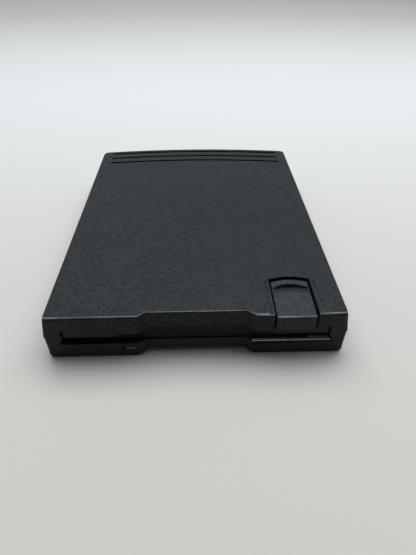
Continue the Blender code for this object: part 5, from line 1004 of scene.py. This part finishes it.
@dataclass
class EjectKey:
    """The eject key: a cap that wraps from the top onto the front, with a crescent finger pocket."""

    centre_x: float = 34.2 * MM
    half_width: float = 6.9 * MM
    front_y: float = -69.0 * MM
    rear_y: float = -49.6 * MM
    bow: float = 1.4 * MM
    top_rear: float = 19.0 * MM
    top_front: float = 18.55 * MM
    foot_z: float = 12.71 * MM
    side_foot_z: float = 15.0 * MM
    foot_band: float = 0.3 * MM
    nose: float = 1.2 * MM
    edge: float = 0.45 * MM
    thickness: float = 1.2 * MM
    pocket_y: float = -54.1 * MM
    pocket_bow: float = 1.9 * MM
    pocket_half: float = 6.4 * MM
    pocket_depth: float = 1.45 * MM
    pocket_wall: float = 0.3 * MM
    pocket_run: float = 4.6 * MM
    pocket_taper: float = 0.3
    nose_steps: int = 8
    rows: int = 56
    rim_columns: tuple[float, ...] = (0.0, 0.012, 0.03, 0.065)
    inner_start: float = 0.1
    inner_columns: int = 26

    def path(self) -> list[Pair]:
        """Returns the y and z of the cap's section, from the foot of its skirt to its rear edge."""
        line = [(self.front_y, self.foot_z), (self.front_y, self.foot_z + self.foot_band),
                (self.front_y, (self.foot_z + self.top_front) / 2)]
        line += [(self.front_y + self.nose * (1 - across), self.top_front - self.nose * (1 - up))
                 for across, up in arc(self.nose_steps)]
        start = line[-1][0]
        for share in ((row + 1) / self.rows for row in range(self.rows)):
            line.append((start + share * (self.rear_y - start),
                         self.top_front + share * (self.top_rear - self.top_front)))
        return line

    def columns(self) -> list[float]:
        """Returns where the columns of the grid lie across the cap, from 0 to 1, closer at the rims."""
        inner = [self.inner_start + (1 - 2 * self.inner_start) * i / self.inner_columns
                 for i in range(self.inner_columns + 1)]
        return [*self.rim_columns, *inner, *(1 - share for share in reversed(self.rim_columns))]

    def dip(self, x: float, y: float) -> float:
        """Returns how deep the finger pocket is at a place."""
        across = (x - self.centre_x) / self.pocket_half
        if abs(across) >= 1:
            return 0.0
        ahead = self.pocket_y + self.pocket_bow * (1 - across ** 2) - y
        rise = 1 - ease(ahead, self.pocket_wall, self.pocket_run)
        taper = (1 - across ** 2) ** self.pocket_taper
        return self.pocket_depth * taper * ease(ahead, 0, self.pocket_wall) * rise

    def bend(self, vert: BMVert, column: float, y: float, z: float) -> None:
        """Moves a point of the grid onto the cap: its column from 0 to 1, and its y and z in section."""
        across = 2 * column - 1
        x = self.centre_x + across * self.half_width
        y -= self.bow * ease(y, self.front_y + self.nose, self.rear_y) * across ** 2
        sunk = rounding_inset(self.edge, self.half_width * (1 - abs(across)))
        rear = rounding_inset(self.edge, max(0.0, self.rear_y - self.bow * across ** 2 - y))
        on_top = ease(y, self.front_y, self.front_y + self.nose)
        z -= (max(sunk, rear) + self.dip(x, y)) * on_top
        vert.co = (x, y + sunk * (1 - on_top), z)

    def drop_skirt(self, place: Vector) -> None:
        """Moves a point of the new rim down to the foot of the skirt, or in behind the front."""
        if place.y > self.front_y + self.nose:
            place.z = self.side_foot_z
        elif place.z > self.foot_z + self.foot_band / 2:
            place.y = self.front_y + self.nose
            place.z = min(place.z, self.side_foot_z)
        else:
            place.y = self.front_y + self.thickness

    def build(self) -> None:
        """Builds the cap from a grid that is bent over its section, then given its skirt."""
        path, columns = self.path(), self.columns()
        bm, points = sheet(len(columns), len(path))
        for vert, column, row in points:
            self.bend(vert, columns[column], *path[row])
        rims = [e for e in bm.edges if e.is_boundary]
        for vert in only(bmesh.ops.extrude_edge_only(bm, edges=rims)["geom"], BMVert):
            self.drop_skirt(vert.co)
        bmesh.ops.remove_doubles(bm, verts=bm.verts, dist=WELD)
        bmesh.ops.holes_fill(bm, edges=[e for e in bm.edges if e.is_boundary], sides=0)
        add_piece("eject_key", bm, Body.SLIDE, KEY_PLASTIC, ["eject_button"], smooth=40.0)


@dataclass
class Light:
    """The lens of the activity light, with the light guide behind it."""

    low: Point = (-25.5 * MM, -68.1 * MM, 2.8 * MM)
    high: Point = (-21.5 * MM, -65.6 * MM, 4.35 * MM)
    guide_half: float = 1.0 * MM
    guide_rear: float = -57.3 * MM
    edge: float = 0.16 * MM

    def build(self) -> None:
        """Builds the lens with softened corners, and its guide."""
        bm = bmesh.new()
        cuboid(bm, self.low, self.high, self.edge, 3)
        middle = (self.low[0] + self.high[0]) / 2
        cuboid(bm, (middle - self.guide_half, self.high[1] - self.edge, self.low[2] + self.edge),
               (middle + self.guide_half, self.guide_rear, self.high[2] - self.edge), self.edge, 2)
        add_piece("light_lens", bm, Body.CASE, LENS, ["led_lens"])


@dataclass
class Feet:
    """Four moulded rubber pads with a rounded rim and a shallow dish."""

    rim: float = 0.35 * MM
    dish: float = 0.12 * MM
    dish_slope: float = 0.25 * MM
    land: float = 0.9 * MM
    rim_steps: int = 5
    nodes: tuple[str, ...] = ("foot_front_left", "foot_front_right", "foot_rear_left", "foot_rear_right")

    def build(self) -> None:
        """Turns each pad at the place of its node."""
        for node in self.nodes:
            low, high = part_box(node)
            radius, top = (high.x - low.x) / 2, high.z - low.z
            inner = radius - self.rim - self.land
            profile = [(0.0, self.dish), (inner - self.dish_slope, self.dish), (inner, 0.0)]
            profile += [(radius - self.rim * (1 - out), self.rim * (1 - up))
                        for up, out in arc(self.rim_steps)]
            profile += [(radius, top), (0.0, top)]
            bm = bmesh.new()
            turned(bm, profile, ((low.x + high.x) / 2, (low.y + high.y) / 2, low.z))
            add_piece(f"pad_{node.removeprefix('foot_')}", bm, Body.CASE, RUBBER, [node])


@dataclass
class Screws:
    """Pan-head screws with a cross recess. The case screws point up, the chassis screws down.

    The recess and its arms are shares of the head's radius, and the dome pairs such a share with one
    of the head's height.
    """

    dome: tuple[Pair, ...] = ((1.0, 0.45), (0.93, 0.78), (0.8, 0.95), (0.68, 1.0))
    case_head: float = 1.2 * MM
    tray_head: float = 0.8 * MM
    sides: int = 24
    recess: float = 0.62
    arm: float = 0.17
    depth: float = 0.6
    recess_floor: float = 0.8
    pitch: float = 0.5 * MM
    thread: float = 0.13 * MM
    tip: float = 0.15
    tip_cut: float = 0.55

    def head(self, bm: BMesh, radius: float, height: float) -> None:
        """Builds the head downwards from its seat at z = 0."""
        ring = bmesh.ops.create_circle(bm, cap_ends=False, segments=self.sides,
                                       radius=radius)["verts"]
        rims = list({e for v in ring for e in v.link_edges})
        for share, rise in self.dome:
            out = bmesh.ops.extrude_edge_only(bm, edges=rims)["geom"]
            rims = only(out, BMEdge)
            for vert in only(out, BMVert):
                flat = Vector((vert.co.x, vert.co.y)).normalized() * radius * share
                vert.co = (flat.x, flat.y, -height * rise)
        wide, thin = radius * self.recess, radius * self.arm
        cross = [(wide, -thin), (wide, thin), (thin, thin)]
        for _ in range(3):
            cross += [(-y, x) for x, y in cross[-3:]]
        corners = [bm.verts.new((x, y, -height)) for x, y in cross]
        lips = [bm.edges.new(pair) for pair in zip(corners, corners[1:] + corners[:1])]
        bmesh.ops.bridge_loops(bm, edges=rims + lips)
        out = bmesh.ops.extrude_edge_only(bm, edges=lips)["geom"]
        for vert in only(out, BMVert):
            vert.co = (vert.co.x * self.recess_floor, vert.co.y * self.recess_floor,
                       height * (self.depth - 1))
        bmesh.ops.contextual_create(bm, geom=only(out, BMEdge))
        bmesh.ops.contextual_create(bm, geom=list({e for v in ring for e in v.link_edges if e.is_boundary}))

    def shank(self, bm: BMesh, radius: float, length: float) -> None:
        """Turns the threaded shank upwards from z = 0."""
        steps = max(4, int(length / self.pitch * 2))
        profile = [(0.0, 0.0)]
        for step in range(steps):
            share = step / steps
            cut = self.thread if step % 2 else 0.0
            taper = 1 - self.tip_cut * max(0.0, share - (1 - self.tip)) / self.tip
            profile.append(((radius - cut) * taper, share * length))
        profile.append((0.0, length))
        turned(bm, profile, (0, 0, 0), steps=16)

    def screw(self, name: str, node: str, up: bool, head: float, finish: Finish) -> None:
        """Builds one screw at its node's place.

        Args:
            name: The piece's name.
            node: The CAD node that it stands for.
            up: True if the shank points up.
            head: Height of the head.
            finish: The metal.
        """
        low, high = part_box(node)
        radius = (high.x - low.x) / 2
        bm = bmesh.new()
        self.head(bm, radius, head)
        self.shank(bm, radius / 2, high.z - low.z - head)
        if not up:
            bmesh.ops.rotate(bm, cent=(0, 0, 0), matrix=Matrix.Rotation(math.pi, 3, "X"), verts=bm.verts)
        foot = low.z + head if up else high.z - head
        bmesh.ops.translate(bm, vec=((low.x + high.x) / 2, (low.y + high.y) / 2, foot), verts=bm.verts)
        add_piece(name, bm, Body.CASE, finish, [node], smooth=32.0)

    def build(self) -> None:
        """Builds the case screws and the chassis screws."""
        for side in ("left", "right"):
            self.screw(f"housing_screw_{side}", f"case_screw_{side}", True, self.case_head,
                       DARK_SCREW)
        for number in range(1, 5):
            self.screw(f"tray_screw_{number}", f"chassis_screw_{number}", False, self.tray_head,
                       ZINC)


# Mechanism


@dataclass
class SlideSprings:
    """Two coil springs in the windows of the slide plate, wound from round wire."""

    x: float = 30 * MM
    front_y: float = 3.74 * MM
    rear_y: float = 19.17 * MM
    z: float = 13.4 * MM
    coil: float = 0.65 * MM
    wire: float = 0.13 * MM
    turns: int = 14
    steps: int = 20
    anchor_y: float = 3.01 * MM
    keep: float = 0.66

    def build(self) -> None:
        """Winds each spring by spinning the section of its wire along its axis."""
        for side, name in ((-1, "left"), (1, "right")):
            bm = bmesh.new()
            ring = bmesh.ops.create_circle(bm, cap_ends=True, segments=8, radius=self.wire)["verts"]
            bmesh.ops.translate(bm, vec=(self.coil, 0, 0), verts=ring)
            total = self.turns * self.steps
            rise = (self.rear_y - self.front_y) / total
            bmesh.ops.spin(bm, geom=bm.faces[:] + bm.edges[:] + bm.verts[:], cent=(0, 0, 0),
                           axis=(0, 1, 0), dvec=(0, rise, 0), angle=math.tau * self.turns, steps=total)
            bmesh.ops.translate(bm, vec=(side * self.x, self.front_y, self.z), verts=bm.verts)
            obj = add_piece(f"return_spring_{name}", bm, Body.CASE, STEEL, [f"slide_spring_{name}"], 60.0)
            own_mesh(obj)


@dataclass
class HeadFilm:
    """The flat film that rolls back on itself between the head carriage and the board.

    Heights and the radius are those of the film's middle.
    """

    centre_x: float = 2 * MM
    width: float = 6 * MM
    thickness: float = 0.2 * MM
    start_y: float = 46.9 * MM
    bend_y: float = 53.5 * MM
    end_y: float = 49.0 * MM
    top_z: float = 9.4 * MM
    radius: float = 1.9 * MM
    runs: int = 14
    turns: int = 16
    columns: int = 9

    def path(self) -> list[Pair]:
        """Returns the y and z of the film's outer face, from the carriage to the board."""
        high, radius = self.top_z + self.thickness / 2, self.radius + self.thickness / 2
        line = [(self.start_y + (self.bend_y - self.start_y) * i / self.runs, high)
                for i in range(self.runs)]
        line += [(self.bend_y + radius * out, high - radius * (1 - up))
                 for up, out in arc(self.turns, math.pi)]
        return line + [(self.bend_y + (self.end_y - self.bend_y) * (i + 1) / self.runs, high - 2 * radius)
                       for i in range(self.runs)]

    def build(self) -> None:
        """Lays a grid along the film's path and gives it its thickness."""
        line = self.path()
        bm, points = sheet(self.columns, len(line))
        for vert, column, row in points:
            vert.co = (self.centre_x + self.width * (column / (self.columns - 1) - 0.5), *line[row])
        bm.normal_update()
        bmesh.ops.solidify(bm, geom=bm.faces[:], thickness=self.thickness)
        obj = add_piece("head_film", bm, None, FILM, ["head_ribbon"])
        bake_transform(obj)


@dataclass
class MotorCoils:
    """The windings of the flat spindle motor, one on each tooth of the stator."""

    centre: Point = (0, -20 * MM, 4 * MM)
    teeth: int = 15
    inner: float = 17.1 * MM
    outer: float = 19.4 * MM
    half_width: float = 1.5 * MM
    half_height: float = 0.66 * MM
    wire: float = 0.2 * MM
    wire_sides: int = 6
    ring: float = 1.0 * MM
    hoops: int = 6
    steps: int = 16
    squareness: float = 0.45

    def hoop(self, bm: BMesh, reach: float, turn: float) -> None:
        """Adds one turn of wire round a tooth: a ring that is pressed to the tooth's section.

        Args:
            bm: The mesh to add to.
            reach: Distance from the motor's axis.
            turn: Direction of the tooth, in radians.
        """
        section = [(self.ring + self.wire * out, self.wire * up)
                   for out, up in arc(self.wire_sides, math.tau)[:-1]]
        made = turned(bm, section, (0, 0, 0), Axis.Y, self.steps)
        for vert in made:
            away = math.hypot(vert.co.x, vert.co.z)
            across, up = vert.co.x / away, vert.co.z / away
            vert.co.x = (math.copysign(abs(across) ** self.squareness * self.half_width, across)
                         + across * (away - self.ring))
            vert.co.z = (math.copysign(abs(up) ** self.squareness * self.half_height, up)
                         + up * (away - self.ring))
        bmesh.ops.translate(bm, vec=(0, reach, 0), verts=made)
        bmesh.ops.rotate(bm, cent=(0, 0, 0), matrix=Matrix.Rotation(turn, 3, "Z"), verts=made)
        bmesh.ops.translate(bm, vec=self.centre, verts=made)

    def build(self) -> None:
        """Winds every tooth."""
        bm = bmesh.new()
        for tooth in range(self.teeth):
            turn = math.tau * tooth / self.teeth - math.pi / 2
            for index in range(self.hoops):
                self.hoop(bm, self.inner + index / (self.hoops - 1) * (self.outer - self.inner), turn)
        add_piece("motor_windings", bm, Body.CASE, COPPER, smooth=60.0)


@dataclass
class SocketContacts:
    """The contacts of the cable socket, in two rows on its tongue."""

    centre_x: float = 30 * MM
    first_y: float = 61.1 * MM
    last_y: float = 66.6 * MM
    middle_z: float = 6.5 * MM
    tongue_half: float = 0.8 * MM
    pitch: float = 0.95 * MM
    count: int = 13
    half_width: float = 0.26 * MM
    proud: float = 0.1 * MM
    edge: float = 0.05 * MM

    def build(self) -> None:
        """Lays the contacts on both faces of the tongue."""
        bm = bmesh.new()
        for index in range(self.count):
            x = self.centre_x + (index - (self.count - 1) / 2) * self.pitch
            for face in (self.middle_z - self.tongue_half, self.middle_z + self.tongue_half):
                cuboid(bm, (x - self.half_width, self.first_y, face - self.proud),
                       (x + self.half_width, self.last_y, face + self.proud), self.edge)
        add_piece("socket_contacts", bm, Body.CASE, GOLD)


@dataclass
class PartRows:
    """A field of small parts in rows: how many, how many to a row, the first one's place and the steps."""

    name: str
    count: int
    to_row: int
    first: Pair
    step: Pair


@dataclass
class Chip:
    """A square package: its middle, and half its width."""

    name: str
    centre: Pair
    half: float


@dataclass
class BoardParts:
    """The small parts on the control board and the interface board."""

    board: float = 4.4 * MM
    lead: float = 0.6 * MM
    lead_half: float = 0.12 * MM
    lead_rise: float = 0.5 * MM
    lead_pitch: float = 0.65 * MM
    gap: float = 0.15 * MM
    package_rise: float = 1.15 * MM
    package_edge: float = 0.15 * MM
    long: float = 0.5 * MM
    thin: float = 0.4 * MM
    rise: float = 0.45 * MM
    cap: float = 0.2 * MM
    layout: tuple[PartRows | Chip, ...] = (
        PartRows("control_parts", 30, 3, (-44.5 * MM, 27 * MM), (2.4 * MM, 2.3 * MM)),
        PartRows("control_filters", 5, 5, (-36 * MM, 46.5 * MM), (2.3 * MM, 0.0)),
        Chip("bridge_chip", (30 * MM, 47 * MM), 3.5 * MM),
        Chip("clock_chip", (40 * MM, 48 * MM), 1.9 * MM),
        PartRows("interface_parts", 16, 8, (21 * MM, 38.2 * MM), (2.7 * MM, 2.1 * MM)))

    def leads(self, name: str, low: Sequence[float], high: Sequence[float]) -> None:
        """Solders leads to all four sides of a package that lies between two corners."""
        bm = bmesh.new()
        for side in (0, 1):
            first, last = low[side], high[side]
            count = int((last - first - self.lead) / self.lead_pitch)
            start = (first + last - (count - 1) * self.lead_pitch) / 2
            order = -1 if side else 1
            for index in range(count):
                for edge in (low[1 - side], high[1 - side]):
                    standing(bm, (start + index * self.lead_pitch, edge)[::order],
                             (self.lead_half, self.lead)[::order], self.board, self.lead_rise,
                             self.lead_half / 3)
        add_piece(name, bm, Body.CASE, TIN)

    def package(self, chip: Chip) -> None:
        """Builds a square package with softened edges and its leads."""
        low, high = [c - chip.half for c in chip.centre], [c + chip.half for c in chip.centre]
        foot, bm = self.board + self.gap, bmesh.new()
        cuboid(bm, (*low, foot), (*high, foot + self.package_rise), self.package_edge, 2)
        add_piece(chip.name, bm, Body.CASE, BLACK_PLASTIC)
        self.leads(f"{chip.name}_leads", low, high)

    def ceramics(self, rows: PartRows) -> None:
        """Solders a field of small ceramic parts with tinned ends, every other one turned."""
        parts, ends = bmesh.new(), bmesh.new()
        cap = (self.cap, self.thin + self.cap / 8)
        for index in range(rows.count):
            down, along = divmod(index, rows.to_row)
            x, y = rows.first[0] + along * rows.step[0], rows.first[1] + down * rows.step[1]
            order = -1 if index % 2 else 1
            standing(parts, (x, y), (self.long, self.thin)[::order], self.board, self.rise, self.cap / 4)
            for side in (-self.long, self.long):
                shift = (side, 0.0)[::order]
                standing(ends, (x + shift[0], y + shift[1]), cap[::order], self.board,
                         self.rise + self.cap / 8, self.cap / 4)
        add_piece(rows.name, parts, Body.CASE, CERAMIC)
        add_piece(f"{rows.name}_ends", ends, Body.CASE, TIN)

    def build(self) -> None:
        """Fits out both boards."""
        self.leads("controller_leads", *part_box("controller_chip"))
        for item in self.layout:
            if isinstance(item, Chip):
                self.package(item)
            else:
                self.ceramics(item)


NODE_FINISHES: dict[Finish, tuple[str, ...]] = {
    DOOR_PLASTIC: ("dust_door",),
    STRIP_PAINTED_REFLECTION: ("slot_guide_strip",),
    STEEL: ("chassis_tray", "disk_holder", "shutter_lever", "guide_rod", "lead_screw", "upper_arm"),
    STEEL_ACROSS: ("drive_cover", "slide_plate"),
    BOARD: ("control_board", "interface_board", "motor_board"),
    BLACK_PLASTIC: ("controller_chip", "disk_switch", "protect_switch", "head_carriage",
                    "socket_insert", "track_sensor"),
    WHITE_PLASTIC: ("disk_plunger", "protect_plunger", "lower_head", "upper_head"),
    ZINC: ("stepper_motor", "rotor_hub"),
    IRON: ("stator_ring",),
    TIN: ("socket_shell",),
}


def main() -> None:
    """Builds the scene sub-assembly by sub-assembly."""
    logging.basicConfig(level=logging.INFO, format="%(name)s: %(message)s")
    Studio().build()
    for assembly in (Covers(), EjectKey(), Light(), Feet(), Screws(), SlideSprings(), HeadFilm(),
                     MotorCoils(), SocketContacts(), BoardParts()):
        assembly.build()
    for finish, names in NODE_FINISHES.items():
        for name in names:
            finish.dress(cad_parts[name])
            LOG.info("%s: CAD node in %s", name, finish.name)


if __name__ == "__main__":
    main()
